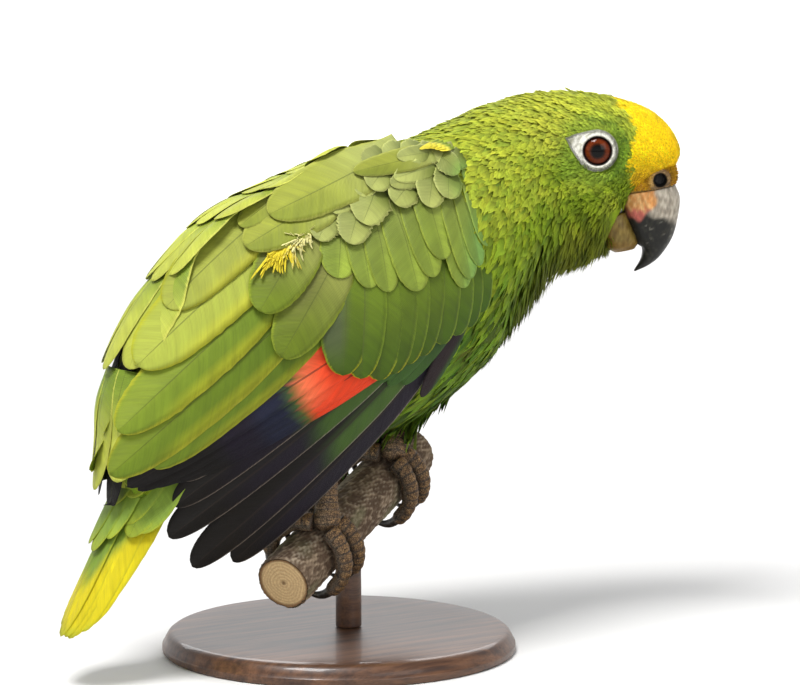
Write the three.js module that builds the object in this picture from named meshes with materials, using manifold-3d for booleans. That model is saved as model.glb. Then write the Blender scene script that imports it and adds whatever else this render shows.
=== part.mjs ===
// A yellow-crowned amazon parrot at life size, crouching on a short cut branch over a plain display stand.
// Millimetres, +Z up, the bird's body facing +X, its left side towards +Y.
// The origin is the centre of the stand's underside.

import * as THREE from "three";
import { mergeVertices } from "three/addons/utils/BufferGeometryUtils.js";
import Module from "manifold-3d";

const wasm = await Module();
wasm.setup();

const { cos, sin, PI, max, min, hypot } = Math;
const RAD = PI / 180;
const V = (x, y, z) => new THREE.Vector3(x, y, z);
const mix = (a, b, t) => a + (b - a) * t;

// ---------------------------------------------------------------- driving dimensions

const GAP = 0.3; // clear space between neighbouring nodes
const GROW = 0.34; // how much a neighbour is grown before it is cut away
const BODY_SIDES = 24; // points round one section of the trunk
const BODY_STEPS = 2; // sections lofted from one named station to the next

// Sections of the trunk: heading of the section (degrees, to the bird's right), where the spine passes,
// the back point and the belly point as [forward, height], and half the width.
const TORSO = [
  { heading: 0, x: -96, y: 0, back: [-4, 82], belly: [8, 62], half: 12 },
  { heading: 0, x: -84, y: 0, back: [-10, 114], belly: [12, 67], half: 21 },
  { heading: 0, x: -64, y: 0, back: [-15, 142], belly: [17, 74], half: 28.5 },
  { heading: 0, x: -36, y: 0, back: [-18, 167], belly: [18, 80], half: 35 },
  { heading: 0, x: -4, y: 0, back: [-20, 183], belly: [20, 83], half: 38 },
  { heading: 0, x: 26, y: 0, back: [-20, 191], belly: [18, 94], half: 39 },
  { heading: 0, x: 47, y: 0, back: [-16, 195], belly: [18, 108], half: 37 },
  { heading: 5, x: 63, y: -0.5, back: [-14, 200.5], belly: [16, 122], half: 34 },
];
const NECK = [
  TORSO[TORSO.length - 1],
  { heading: 12, x: 74, y: -1.5, back: [-10, 206], belly: [14, 131], half: 31 },
  { heading: 20, x: 83, y: -3, back: [-6, 209.5], belly: [14, 140], half: 28 },
  { heading: 28, x: 91, y: -5, back: [-3, 211], belly: [15, 145], half: 25 },
];

// The head turns to the bird's right. Its own frame: x towards the bill tip, z up, y out of its left cheek.
const HEAD_TURN = 33;
const HEAD_AT = V(95, -6, 185);
const headStation = (x, back, belly, half) => ({
  heading: HEAD_TURN,
  x: HEAD_AT.x + x * cos(HEAD_TURN * RAD),
  y: HEAD_AT.y - x * sin(HEAD_TURN * RAD),
  back: [back[0], back[1] + HEAD_AT.z],
  belly: [belly[0], belly[1] + HEAD_AT.z],
  half,
});
const HEAD = [
  NECK[NECK.length - 1],
  headStation(7, [-2, 26.5], [13, -36.5], 23),
  headStation(17, [-1, 25.8], [8, -27], 22.5),
  headStation(27, [1, 23.6], [2, -17], 20),
  headStation(35, [4, 19.2], [0, -12], 16.5),
  headStation(43, [4, 11.5], [-1, -8], 12),
  headStation(48.5, [2, 3.5], [-0.5, -3.5], 6.5),
];

// Bill sections in the head's frame: the ridge point and the cutting-edge point as [x, z], and half the width.
const CERE = [
  { ridge: [47.6, -1.5], edge: [24, -9], half: 10.5 },
  { ridge: [48.6, -5.5], edge: [25, -13], half: 11 },
  { ridge: [48.2, -9.6], edge: [25.5, -16.3], half: 10.8 },
];
const BILL_UPPER = [
  { ridge: [48.2, -10.0], edge: [25.5, -16.7], half: 10.6 },
  { ridge: [50, -15], edge: [28, -21], half: 10 },
  { ridge: [49.4, -22], edge: [30.5, -26.5], half: 9 },
  { ridge: [47.2, -30.5], edge: [33.3, -32], half: 7.3 },
  { ridge: [42.6, -37.8], edge: [35.3, -35], half: 5 },
  { ridge: [37.8, -41.8], edge: [34.8, -39.3], half: 2.8 },
  { ridge: [32.7, -44.2], edge: [32.2, -43.8], half: 0.5 },
];
const BILL_LOWER = [
  { ridge: [26.6, -20.5], edge: [17, -24], half: 8.6 },
  { ridge: [29.7, -27.8], edge: [18, -29], half: 8.8 },
  { ridge: [31.8, -32], edge: [21, -34.5], half: 7 },
  { ridge: [30.8, -34.6], edge: [24.5, -36.4], half: 4 },
];

const NOSTRIL = { x: 42.2, z: -7.6, out: 9.6, radius: 2.7 };
// Eye: where it sits in the head's frame, and the section of its lids as [radius, distance out from the ball's centre].
const EYE = { x: 17.5, z: 3.5, out: 15.6, ball: 7.4, lidOuter: 8, sides: 16,
  lids: [[7.55, 1.8], [8, 1.8], [8, 4.4], [7.1, 5.8], [6.2, 6.1], [5.8, 5.55], [6.7, 4.1]] };
const SOCKET_OUT = 12; // how far the socket's cut reaches out past the eyeball's centre

// Wing frame: a runs from the wrist to the tip, b up across the wing, and the surface bulges outwards.
const WING = {
  origin: V(43.6, 36, 161.9),
  dip: 36.5,
  toeIn: 9.4,
  lean: 9.9,
  crown: 24,
  crownAt: 75,
  frontReach: 75,
  rearReach: 130,
  crestAt: 20,
  upperRoll: 10.2,
  upperRollFront: 9.4,
  lowerRoll: 13,
};

// Edges of the solid core of the wing as [a, b] from the lower edge to the upper one.
const CORE_FRONT = [[26, -19], [7, -8], [-3, 2], [-9, 18], [-8, 35], [4, 47], [21, 58], [42, 65]];
const CORE_REAR = [[34, -20], [38, -12], [43, -6], [47, 6], [56, 24], [60, 41], [63, 56], [66, 67]];

// How far behind the core the flight feathers' space is kept clear, as [a, b].
const CLEAR_TO = [[120, -34], [130, -20], [130, -5], [130, 15], [130, 35], [130, 55], [130, 70], [125, 82]];

// The lie of the coverts as [a, b]: each runs from the first line towards the second, outermost first.
const COVERT_FROM = [[-3, 5], [-9, 28], [4, 47], [30, 62], [52, 68]];
const COVERT_TO = [[35, -20], [54, -14], [74, -10], [92, 14], [96, 40]];

// Tiers of coverts, two of lesser, then median and greater: where along that lie they root and end,
// the span that they fill, half width and level.
const COVERT_TIERS = [
  { count: 5, root: 0, tip: 0.2, span: [0.08, 0.84], half: 8, level: 1.3 },
  { count: 6, root: 0.14, tip: 0.42, span: [0.02, 0.88], half: 8, level: 1.2 },
  { count: 8, root: 0.34, tip: 0.66, span: [0.02, 0.9], half: 7.2, level: 1.1 },
  { count: 9, root: 0.4, tip: 1, span: [0.02, 0.88], half: 8, level: 0.8 },
];

// The scapulars lie along the top of the wing, in rows from the inside out.
const SCAPULAR = { from: [[4, 47], [18, 55], [34, 61], [52, 63]], to: [[46, 42], [62, 50], [80, 52], [97, 47]],
  count: 5, half: 9.5, level: 1.2 };

// Flight feathers as [a, b]: roots and tips from the lower edge to the upper one.
const SECONDARY = { roots: [[56, -9], [60, 8], [70, 30], [74, 48], [72, 62]],
  tips: [[103, -5], [119, 3], [134, 8], [158, 15], [171, 23], [158, 36], [142, 50], [118, 60]],
  count: 8, half: 9.4, level: -2.4, thick: 0.8 };
const PRIMARY = { roots: [[38, -20], [52, -12], [66, -3], [76, 6]],
  tips: [[148, -36], [158, -32], [166, -25], [165, -14], [158, -6], [140, 1]],
  count: 7, half: 6.6, level: -4.9, thick: 0.8, bulge: 6 };

// How each wing is held: its settling, its extra toe-in and how far its primaries fold up under the rest.
const HOLD = {
  left: { side: 1, settle: V(3, 2.5, -1), toeIn: 0, fold: 12.5 },
  right: { side: -1, settle: V(0, 0, 0), toeIn: 0, fold: 0 },
};

const LEVEL = { coreFront: 1.1, coreRear: -0.6, core: -14, clearTop: -0.4, clearUnder: -6.8 };
const TILT = 0.5; // how far the edges of a vane are raised and lowered across it
const VANE_THICK = 0.75;
const ROOT_LEVEL = -2; // how deep the roots of the coverts and scapulars lie
const VANE_RISE = 0.6; // share of a vane's length over which it rises out of the core

const TAIL = { root: V(-80, 0, 92), tip: V(-120, 0, 19), crown: 4.5, core: 0.42, coreHalf: 12, coreThick: 5 };
const RECTRIX = { pairs: 6, spread: 13, half: 6.2, shortest: 0.86, level: 2.2, step: 0.55, thick: 0.9 };
const TAIL_COVERT = {
  half: 5.6,
  thick: 0.9,
  rows: [
    { count: 5, tip: 0.5, spread: 11, level: 3.6 },
    { count: 4, tip: 0.36, spread: 8, level: 4.8 },
    { count: 4, tip: 0.46, spread: 8, level: -4.4 },
  ],
};

const PERCH = { far: V(29, 15, 60.5), near: V(-19, -13, 42.5), radius: 11, overhang: 26 };
const BASE = { radius: 68, thick: 8, chamfer: 1.5 };
const ROD = { radius: 5 };

const LEG = {
  toeRadius: 3.6,
  toeTaper: [1, 1, 0.94, 0.88, 0.8],
  clawRadii: [1.9, 1.7, 1.1, 0.3],
  palmRadius: 5.2,
  shankRadii: [4.6, 4, 4],
  thighRadii: [5.6, 10, 14, 17],
};

// ---------------------------------------------------------------- solids from shapes

/** A three.js geometry as a solid, with its shared vertices merged. */
function solid(geometry) {
  const plain = geometry.index ? geometry.clone() : geometry;
  plain.deleteAttribute("normal");
  plain.deleteAttribute("uv");
  const merged = mergeVertices(plain, 1e-4);
  const made = new wasm.Manifold(
    new wasm.Mesh({
      numProp: 3,
      vertProperties: merged.getAttribute("position").array,
      triVerts: new Uint32Array(merged.index.array),
    }),
  );
  return made.volume() < 0 ? flipped(merged) : made;
}

/** The solid of an indexed geometry whose faces point inwards, turned round. */
function flipped(geometry) {
  const triVerts = new Uint32Array(geometry.index.array);
  for (let i = 0; i < triVerts.length; i += 3) {
    [triVerts[i + 1], triVerts[i + 2]] = [triVerts[i + 2], triVerts[i + 1]];
  }
  return new wasm.Manifold(
    new wasm.Mesh({ numProp: 3, vertProperties: geometry.getAttribute("position").array, triVerts }),
  );
}

/** The largest closed body of a solid. */
function largest(body) {
  const parts = body.decompose();
  return parts.reduce((best, part) => (part.volume() > best.volume() ? part : best));
}

/** A geometry from a list of points and a list of triangles. */
function geometryOf(points, triangles) {
  const geometry = new THREE.BufferGeometry().setFromPoints(points);
  geometry.setIndex(triangles.flat());
  return geometry;
}

/** A closed body lofted through rings of equal length, with each end closed by a fan about its centre. */
function loft(rings) {
  const sides = rings[0].length;
  const points = rings.flat();
  const triangles = [];
  for (let r = 0; r + 1 < rings.length; r += 1) {
    for (let k = 0; k < sides; k += 1) {
      const a = r * sides + k;
      const b = r * sides + ((k + 1) % sides);
      triangles.push([a, b, b + sides], [a, b + sides, a + sides]);
    }
  }
  for (const [first, turn] of [[0, true], [(rings.length - 1) * sides, false]]) {
    const centre = V(0, 0, 0);
    for (let k = 0; k < sides; k += 1) centre.add(points[first + k]);
    const hub = points.push(centre.divideScalar(sides)) - 1;
    for (let k = 0; k < sides; k += 1) {
      const a = first + k;
      const b = first + ((k + 1) % sides);
      triangles.push(turn ? [hub, b, a] : [hub, a, b]);
    }
  }
  return solid(geometryOf(points, triangles));
}

/** A closed body lofted through square rings whose ends are flat. */
function loftSquare(rings) {
  const triangles = [];
  for (let r = 0; r + 1 < rings.length; r += 1) {
    for (let k = 0; k < 4; k += 1) {
      const a = r * 4 + k;
      const b = r * 4 + ((k + 1) % 4);
      // The same diagonal on both faces keeps a thin curved vane from crossing itself.
      triangles.push(...(k % 2 ? [[a, b, b + 4], [a, b + 4, a + 4]] : diagonal(k, a, b)));
    }
  }
  const last = (rings.length - 1) * 4;
  triangles.push([0, 2, 1], [0, 3, 2], [last, last + 1, last + 2], [last, last + 2, last + 3]);
  return solid(geometryOf(rings.flat(), triangles));
}

/** The two triangles of a vane's face, split along the same line on the outer and the inner face. */
function diagonal(k, a, b) {
  return k === 0 ? [[a, b, b + 4], [a, b + 4, a + 4]] : [[a, b, a + 4], [b, b + 4, a + 4]];
}

/** A thin closed plate over a grid: face(u, v, 1) is its outer face and face(u, v, 0) its inner one. */
function plate(us, vs, face) {
  const points = [];
  const at = (i, j, side) => (side * us.length + i) * vs.length + j;
  for (const side of [0, 1]) for (const u of us) for (const v of vs) points.push(face(u, v, side));
  const triangles = [];
  for (let i = 0; i + 1 < us.length; i += 1) {
    for (let j = 0; j + 1 < vs.length; j += 1) {
      for (const side of [0, 1]) {
        const [a, b, c, d] = [at(i, j, side), at(i + 1, j, side), at(i + 1, j + 1, side), at(i, j + 1, side)];
        triangles.push(...(side ? [[a, b, c], [a, c, d]] : [[a, c, b], [a, d, c]]));
      }
    }
  }
  const rim = [];
  for (let i = 0; i + 1 < us.length; i += 1) rim.push([[i, 0], [i + 1, 0]]);
  for (let j = 0; j + 1 < vs.length; j += 1) rim.push([[us.length - 1, j], [us.length - 1, j + 1]]);
  for (let i = us.length - 1; i > 0; i -= 1) rim.push([[i, vs.length - 1], [i - 1, vs.length - 1]]);
  for (let j = vs.length - 1; j > 0; j -= 1) rim.push([[0, j], [0, j - 1]]);
  for (const [p, q] of rim) {
    const [a, b, c, d] = [at(...p, 0), at(...q, 0), at(...q, 1), at(...p, 1)];
    triangles.push([a, b, c], [a, c, d]);
  }
  return solid(geometryOf(points, triangles));
}

/** A round tapered body along a path of points, one radius to each. */
function taperedTube(path, radii, sides, steps = 2) {
  const curve = new THREE.CatmullRomCurve3(path, false, "centripetal");
  const count = (path.length - 1) * steps;
  const frames = curve.computeFrenetFrames(count, false);
  const rings = [];
  for (let i = 0; i <= count; i += 1) {
    const t = i / count;
    const slot = min(Math.floor(i / steps), radii.length - 2);
    const radius = mix(radii[slot], radii[slot + 1], i / steps - slot);
    const at = curve.getPoint(t);
    const ring = [];
    for (let k = 0; k < sides; k += 1) {
      const angle = (2 * PI * k) / sides;
      ring.push(
        at
          .clone()
          .addScaledVector(frames.normals[i], radius * cos(angle))
          .addScaledVector(frames.binormals[i], radius * sin(angle)),
      );
    }
    rings.push(ring);
  }
  return loft(rings);
}

/** Point on a broken line of [a, b] pairs at share u of its points. */
function along(line, u) {
  const spot = min(max(u, 0), 1) * (line.length - 1);
  const i = min(Math.floor(spot), line.length - 2);
  return [mix(line[i][0], line[i + 1][0], spot - i), mix(line[i][1], line[i + 1][1], spot - i)];
}

const steps = (count) => Array.from({ length: count + 1 }, (_, i) => i / count);

// ---------------------------------------------------------------- trunk, neck and head

/** Centre, half axes and directions of one section. */
function sectionOf(station) {
  const forward = V(cos(station.heading * RAD), -sin(station.heading * RAD), 0);
  const spine = V(station.x, station.y, 0);
  const back = spine.clone().addScaledVector(forward, station.back[0]).setZ(station.back[1]);
  const belly = spine.clone().addScaledVector(forward, station.belly[0]).setZ(station.belly[1]);
  return {
    centre: back.clone().add(belly).multiplyScalar(0.5),
    rise: back.clone().sub(belly).multiplyScalar(0.5),
    side: V(sin(station.heading * RAD), cos(station.heading * RAD), 0).multiplyScalar(station.half),
  };
}

/** Catmull-Rom blend of four vectors. */
function blend(p, q, r, s, t) {
  const curve = new THREE.CatmullRomCurve3([p, q, r, s], false, "catmullrom", 0.5);
  return curve.getPoint((1 + t) / 3);
}

/** Ring of points on a section, grown outwards by pad and moved along its normal by shift. */
function ringOf(section, pad = 0, shift = 0) {
  const rise = section.rise.clone().setLength(section.rise.length() + pad);
  const side = section.side.clone().setLength(section.side.length() + pad);
  const normal = section.side.clone().cross(section.rise).normalize();
  const centre = section.centre.clone().addScaledVector(normal, shift);
  return Array.from({ length: BODY_SIDES }, (_, k) => {
    const angle = (2 * PI * k) / BODY_SIDES;
    return centre.clone().addScaledVector(side, cos(angle)).addScaledVector(rise, sin(angle));
  });
}

/** Every section through a list of stations, with the stations before and after it to lead the curve. */
function sectionsOf(stations, before, after) {
  const list = [before ?? stations[0], ...stations, after ?? stations[stations.length - 1]].map(sectionOf);
  const out = [];
  for (let i = 1; i + 2 < list.length; i += 1) {
    for (let k = 0; k < BODY_STEPS; k += 1) {
      const t = k / BODY_STEPS;
      const [p, q, r, s] = [list[i - 1], list[i], list[i + 1], list[i + 2]];
      out.push({
        centre: blend(p.centre, q.centre, r.centre, s.centre, t),
        rise: blend(p.rise, q.rise, r.rise, s.rise, t),
        side: blend(p.side, q.side, r.side, s.side, t),
      });
    }
  }
  out.push(list[list.length - 2]);
  return out;
}

const torsoSections = sectionsOf(TORSO, undefined, NECK[1]);
const neckSections = sectionsOf(NECK, TORSO[TORSO.length - 2], HEAD[1]);
const headSections = sectionsOf(HEAD, NECK[NECK.length - 2], undefined);

const trunkPiece = (sections, pad, open) =>
  loft(sections.map((section, i) => ringOf(section, pad, i === 0 && open ? GAP : 0)));

const torsoWhole = (pad = 0) => trunkPiece(torsoSections, pad, false);
const neckWhole = (pad = 0) => trunkPiece(neckSections, pad, pad === 0);
const headWhole = (pad = 0) => trunkPiece(headSections, pad, pad === 0);

// ---------------------------------------------------------------- bill, eyes and lids

const headFrame = new THREE.Matrix4()
  .makeTranslation(HEAD_AT.x, HEAD_AT.y, HEAD_AT.z)
  .multiply(new THREE.Matrix4().makeRotationZ(-HEAD_TURN * RAD));
const inHead = (x, y, z) => V(x, y, z).applyMatrix4(headFrame);

/** A bill piece lofted through its sections, grown by pad. */
function billPiece(sections, pad = 0) {
  const rings = sections.map(({ ridge, edge, half }) => {
    const mid = [(ridge[0] + edge[0]) / 2, (ridge[1] + edge[1]) / 2];
    const reach = hypot(ridge[0] - edge[0], ridge[1] - edge[1]) / 2;
    const way = [(ridge[0] - mid[0]) / reach, (ridge[1] - mid[1]) / reach];
    return Array.from({ length: 16 }, (_, k) => {
      const angle = (2 * PI * k) / 16;
      const forward = (reach + pad) * cos(angle);
      const flat = cos(angle) < 0 ? 0.9 : 1;
      return inHead(mid[0] + way[0] * forward, (half + pad) * sin(angle) * flat, mid[1] + way[1] * forward);
    });
  });
  return loft(rings);
}

/** The pit of one nostril. */
function nostril(side) {
  const at = inHead(NOSTRIL.x, side * NOSTRIL.out, NOSTRIL.z);
  return solid(new THREE.SphereGeometry(NOSTRIL.radius, 8, 6).translate(at.x, at.y, at.z));
}

/** The eyeball of one side. */
function eyeball(side) {
  const at = inHead(EYE.x, side * EYE.out, EYE.z);
  return solid(new THREE.SphereGeometry(EYE.ball, 14, 8).translate(at.x, at.y, at.z));
}

/** The pit in the head that holds an eyeball and its lids. */
function socket(side) {
  const reach = EYE.ball + GAP;
  const length = reach + SOCKET_OUT;
  const pit = new THREE.CylinderGeometry(EYE.lidOuter + GROW, EYE.lidOuter + GROW, length, EYE.sides);
  pit.translate(0, side * (EYE.out - reach + length / 2), 0).translate(EYE.x, 0, EYE.z).applyMatrix4(headFrame);
  return solid(pit);
}

/** The bare ring of lids of one side, round the eyeball and proud of the face. */
function lidRing(side) {
  const profile = EYE.lids.map(([radius, out]) => new THREE.Vector2(radius, out));
  profile.push(profile[0]);
  const ring = new THREE.LatheGeometry(profile, EYE.sides);
  if (side < 0) ring.rotateX(PI);
  return solid(ring.translate(EYE.x, side * EYE.out, EYE.z).applyMatrix4(headFrame));
}

// ---------------------------------------------------------------- wings

/** The directions of a wing's frame, for a left wing held as given. */
function wingFrame(hold) {
  const dip = WING.dip * RAD;
  const toe = (WING.toeIn + hold.toeIn) * RAD;
  const lean = WING.lean * RAD;
  const alongWay = V(-cos(dip) * cos(toe), -cos(dip) * sin(toe), -sin(dip));
  const rise = V(-sin(dip) * cos(toe), -sin(dip) * sin(toe), cos(dip));
  const inward = V(sin(toe), -cos(toe), 0);
  const acrossWay = rise.multiplyScalar(cos(lean)).addScaledVector(inward, sin(lean));
  const outward = acrossWay.clone().cross(alongWay).negate();
  return { origin: WING.origin.clone().add(hold.settle), alongWay, acrossWay, outward };
}

/** Point of a wing at a along it, b up across it, and a level outwards from its surface. */
function wingPoint(hold, a, b, level) {
  const { origin, alongWay, acrossWay, outward } = wingFrame(hold);
  const reach = a < WING.crownAt ? WING.frontReach : WING.rearReach;
  const upper = a < WING.crownAt ? WING.upperRollFront : WING.upperRoll;
  const roll = b > WING.crestAt ? upper : WING.lowerRoll;
  const height = WING.crown * (1 - ((a - WING.crownAt) / reach) ** 2) - ((b - WING.crestAt) / roll) ** 2;
  const at = origin
    .addScaledVector(alongWay, a)
    .addScaledVector(acrossWay, b)
    .addScaledVector(outward, height + level);
  return at.setY(hold.side * at.y);
}

// Outline of a vane: share of its length and share of its half width there.
const QUILL_OUTLINE = [[0, 0.5], [0.42, 0.95], [0.8, 0.9], [1, 0.3]];
const COVERT_OUTLINE = [[0, 0.5], [0.72, 1], [1, 0.34]];

/**
 * One feather vane between a root and a tip given as [a, b] on a surface that point(a, b, level) maps.
 * It rises out of the core from rootLevel to level, and its inner edge is tucked down by tilt.
 */
function vane(point, spec) {
  const { root, tip, half, level, rootLevel, thick } = spec;
  const { outline = COVERT_OUTLINE, tilt = TILT, bend = 0 } = spec;
  const length = hypot(tip[0] - root[0], tip[1] - root[1]);
  const way = [(tip[0] - root[0]) / length, (tip[1] - root[1]) / length];
  const across = [-way[1], way[0]];
  const rings = outline.map(([t, width]) => {
    const rise = min(1, t / VANE_RISE);
    const lift = mix(rootLevel, level, rise);
    const body = thick * mix(1, 0.7, t);
    const shift = bend * sin(PI * t);
    return [[-1, 0.5], [1, 0.5], [1, -0.5], [-1, -0.5]].map(([q, face]) => {
      const off = q * half * width + shift;
      const a = root[0] + way[0] * length * t + across[0] * off;
      const b = root[1] + way[1] * length * t + across[1] * off;
      return point(a, b, lift - q * tilt * rise + face * body);
    });
  });
  return loftSquare(rings);
}

/** Joins a list of solids. */
const join = (bodies) => bodies.reduce((whole, body) => whole.add(body));

/** A repeatable source of small variations between -1 and 1. */
function variation(seed) {
  let state = seed;
  return () => {
    state = (state * 1664525 + 1013904223) % 4294967296;
    return (state / 4294967296) * 2 - 1;
  };
}

/** Point between the two lines that set the lie of the coverts. */
function covertLie(u, v) {
  const [a0, b0] = along(COVERT_FROM, u);
  const [a1, b1] = along(COVERT_TO, u);
  return [mix(a0, a1, v), mix(b0, b1, v)];
}

/** The core of a wing with its lesser, median and greater coverts and its scapulars. */
function coverts(hold) {
  const point = (a, b, level) => wingPoint(hold, a, b, level);
  const face = (u, v, outer) => {
    const [a0, b0] = along(CORE_FRONT, u);
    const [a1, b1] = along(CORE_REAR, u);
    const level = outer ? mix(LEVEL.coreFront, LEVEL.coreRear, v) : LEVEL.core;
    return point(mix(a0, a1, v), mix(b0, b1, v), level);
  };
  const bodies = [plate(steps(9), steps(3), face)];
  const vary = variation(11);
  for (const tier of COVERT_TIERS) {
    for (let i = 0; i < tier.count; i += 1) {
      const u = mix(tier.span[0], tier.span[1], i / (tier.count - 1));
      bodies.push(
        vane(point, {
          root: covertLie(u, tier.root),
          tip: covertLie(u, tier.tip + 0.015 * vary()),
          half: tier.half * (1 + 0.06 * vary()),
          level: tier.level,
          rootLevel: ROOT_LEVEL,
          thick: VANE_THICK,
        }),
      );
    }
  }
  for (let i = 0; i < SCAPULAR.count; i += 1) {
    const u = i / (SCAPULAR.count - 1);
    const near = along(SCAPULAR.from, u);
    const far = along(SCAPULAR.to, u);
    const root = [near[0], near[1]];
    const { half, level } = SCAPULAR;
    bodies.push(vane(point, { root, tip: far, half, level, rootLevel: ROOT_LEVEL, thick: VANE_THICK }));
  }
  return join(bodies);
}

/** The space behind the core that the flight feathers take, which the coverts keep clear of. */
function flightSpace(hold) {
  return plate(steps(8), steps(5), (u, v, outer) => {
    const [a0, b0] = along(CORE_REAR, u);
    const [a1, b1] = along(CLEAR_TO, u);
    const start = GROW / hypot(a1 - a0, b1 - b0);
    const t = mix(start, 1, v);
    return wingPoint(hold, mix(a0, a1, t), mix(b0, b1, t), outer ? LEVEL.clearTop : LEVEL.clearUnder);
  });
}

/** A layer of flight feathers whose roots are sunk in a strip that joins them. */
function flightFeathers(hold, layer, turn) {
  const pivot = layer.roots[0];
  const swing = ([a, b]) => {
    const [x, y] = [a - pivot[0], b - pivot[1]];
    return [pivot[0] + x * cos(turn) - y * sin(turn), pivot[1] + x * sin(turn) + y * cos(turn)];
  };
  const point = (a, b, level) => wingPoint(hold, a, b, level);
  const strip = plate(steps(6), [0, 1], (u, v, outer) => {
    const [a, b] = along(layer.roots, u);
    const [x, y] = swing(along(layer.tips, u));
    const length = hypot(x - a, y - b);
    const reach = mix(0, 9, v) / length;
    return point(mix(a, x, reach), mix(b, y, reach), layer.level + (outer ? 0.75 : -0.75));
  });
  const bodies = [strip];
  const vary = variation(23);
  for (let i = 0; i < layer.count; i += 1) {
    const u = i / (layer.count - 1);
    const bend = -(layer.bulge ?? 0) * (1 - u);
    const tip = swing(along(layer.tips, u));
    bodies.push(
      vane(point, {
        outline: QUILL_OUTLINE,
        root: along(layer.roots, u),
        tip: [tip[0] + vary(), tip[1]],
        half: layer.half,
        level: layer.level,
        rootLevel: layer.level,
        thick: layer.thick,
        bend,
      }),
    );
  }
  return join(bodies);
}

// ---------------------------------------------------------------- tail

/** Point of the tail at a share of its length, an offset across it and a level above its plane. */
function tailPoint(t, across, level) {
  const down = TAIL.tip.clone().sub(TAIL.root);
  const normal = V(-down.z, 0, down.x).normalize();
  const upward = normal.z < 0 ? normal.negate() : normal;
  const drop = TAIL.crown * (across / 18) ** 2;
  return TAIL.root.clone().addScaledVector(down, t).addScaledVector(upward, level - drop).setY(across);
}

/** The tail's core, its tail feathers and the coverts over and under them. */
function tail() {
  const reach = TAIL.tip.distanceTo(TAIL.root);
  const point = (a, b, level) => tailPoint(a / reach, b, level);
  const bodies = [
    plate(steps(4), steps(2), (u, v, outer) => {
      const half = TAIL.coreHalf * (1 - 0.15 * v);
      const level = outer ? TAIL.coreThick / 2 : -TAIL.coreThick / 2;
      return point(TAIL.core * reach * v, (u * 2 - 1) * half, level * (1 - 0.7 * v));
    }),
  ];
  const feather = (side, share, options) => {
    const tip = [reach * options.tip, side * options.spread * share];
    const tilt = side < 0 ? -TILT : TILT;
    bodies.push(
      vane(point, {
        root: [reach * 0.06, side * options.spread * share * 0.5],
        tip,
        half: options.half,
        level: options.level,
        rootLevel: 0,
        thick: options.thick,
        tilt: -tilt,
      }),
    );
  };
  for (let i = 0; i < RECTRIX.pairs; i += 1) {
    const share = (i + 0.5) / (RECTRIX.pairs - 0.5);
    for (const side of [1, -1]) {
      const level = RECTRIX.level - RECTRIX.step * i - (side < 0 ? RECTRIX.step / 2 : 0);
      feather(side, share, { ...RECTRIX, level: level - 1.4, tip: mix(1, RECTRIX.shortest, share ** 2) });
    }
  }
  for (const row of TAIL_COVERT.rows) {
    for (let i = 0; i < row.count; i += 1) {
      const across = (i / (row.count - 1)) * 2 - 1;
      const side = across < 0 ? -1 : 1;
      feather(side, Math.abs(across), { ...row, half: TAIL_COVERT.half, thick: TAIL_COVERT.thick });
    }
  }
  return join(bodies);
}

// ---------------------------------------------------------------- perch, stand and feet

const perchWay = PERCH.near.clone().sub(PERCH.far).normalize();
const perchFront = V(1, 0, 0).addScaledVector(perchWay, -perchWay.x).normalize();
const perchUp = perchWay.clone().cross(perchFront).normalize();
if (perchUp.z < 0) perchUp.negate();

/** The cut branch, grown by pad. */
function perch(pad = 0) {
  const from = PERCH.far.clone().addScaledVector(perchWay, -PERCH.overhang - pad);
  const to = PERCH.near.clone().addScaledVector(perchWay, PERCH.overhang + pad);
  const at = [0, 0.34, 0.66, 1].map((t) => from.clone().lerp(to, t));
  return taperedTube(at, at.map(() => PERCH.radius + pad), 18, 1);
}

/** Point at an angle round the perch, zero on top and positive towards the bird's front. */
function roundPerch(centre, degrees, distance, shift) {
  return centre
    .clone()
    .addScaledVector(perchUp, cos(degrees * RAD) * distance)
    .addScaledVector(perchFront, sin(degrees * RAD) * distance)
    .addScaledVector(perchWay, shift);
}

// The four toes of a foot: two in front and two behind, with the angle that each reaches round the perch
// and how far it splays along it from root to end.
const TOES = [
  { name: "front_inner", from: 14, to: 108, root: -3.9, end: -7.5 },
  { name: "front_outer", from: 14, to: 122, root: 3.9, end: 6.5 },
  { name: "rear_inner", from: -14, to: -84, root: -3.9, end: -7 },
  { name: "rear_outer", from: -14, to: -112, root: 3.9, end: 7.5 },
];
const CLAW = { start: 5, turn: 41, arch: 1.2, hook: 1.4 }; // degrees on round the perch, rise and hooked tip

/** One toe along the perch's surface. */
function toe(centre, spec, pad = 0) {
  const radius = LEG.toeRadius;
  const distance = PERCH.radius + radius + GAP;
  const path = steps(4).map((t) =>
    roundPerch(centre, mix(spec.from, spec.to, t), distance, mix(spec.root, spec.end, t)),
  );
  return taperedTube(path, LEG.toeTaper.map((share) => radius * share + pad), 7, 1);
}

/** The claw that ends one toe. */
function claw(centre, spec) {
  const forward = spec.to > 0 ? 1 : -1;
  const distance = PERCH.radius + LEG.toeRadius + GAP;
  const path = steps(3).map((t) => {
    const degrees = spec.to + forward * (CLAW.start + CLAW.turn * t);
    return roundPerch(centre, degrees, distance + CLAW.arch * sin(PI * t) - CLAW.hook * t, spec.end);
  });
  return taperedTube(path, LEG.clawRadii, 7, 1);
}

const feet = [
  { side: "left", centre: PERCH.far, knee: V(35, 15, 89), hip: V(14, 18, 101) },
  { side: "right", centre: PERCH.near, knee: V(-16, -17, 86), hip: V(-24, -20, 98) },
];

const ankleOf = (foot) => roundPerch(foot.centre, 0, PERCH.radius + LEG.palmRadius + GAP, 0);

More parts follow.
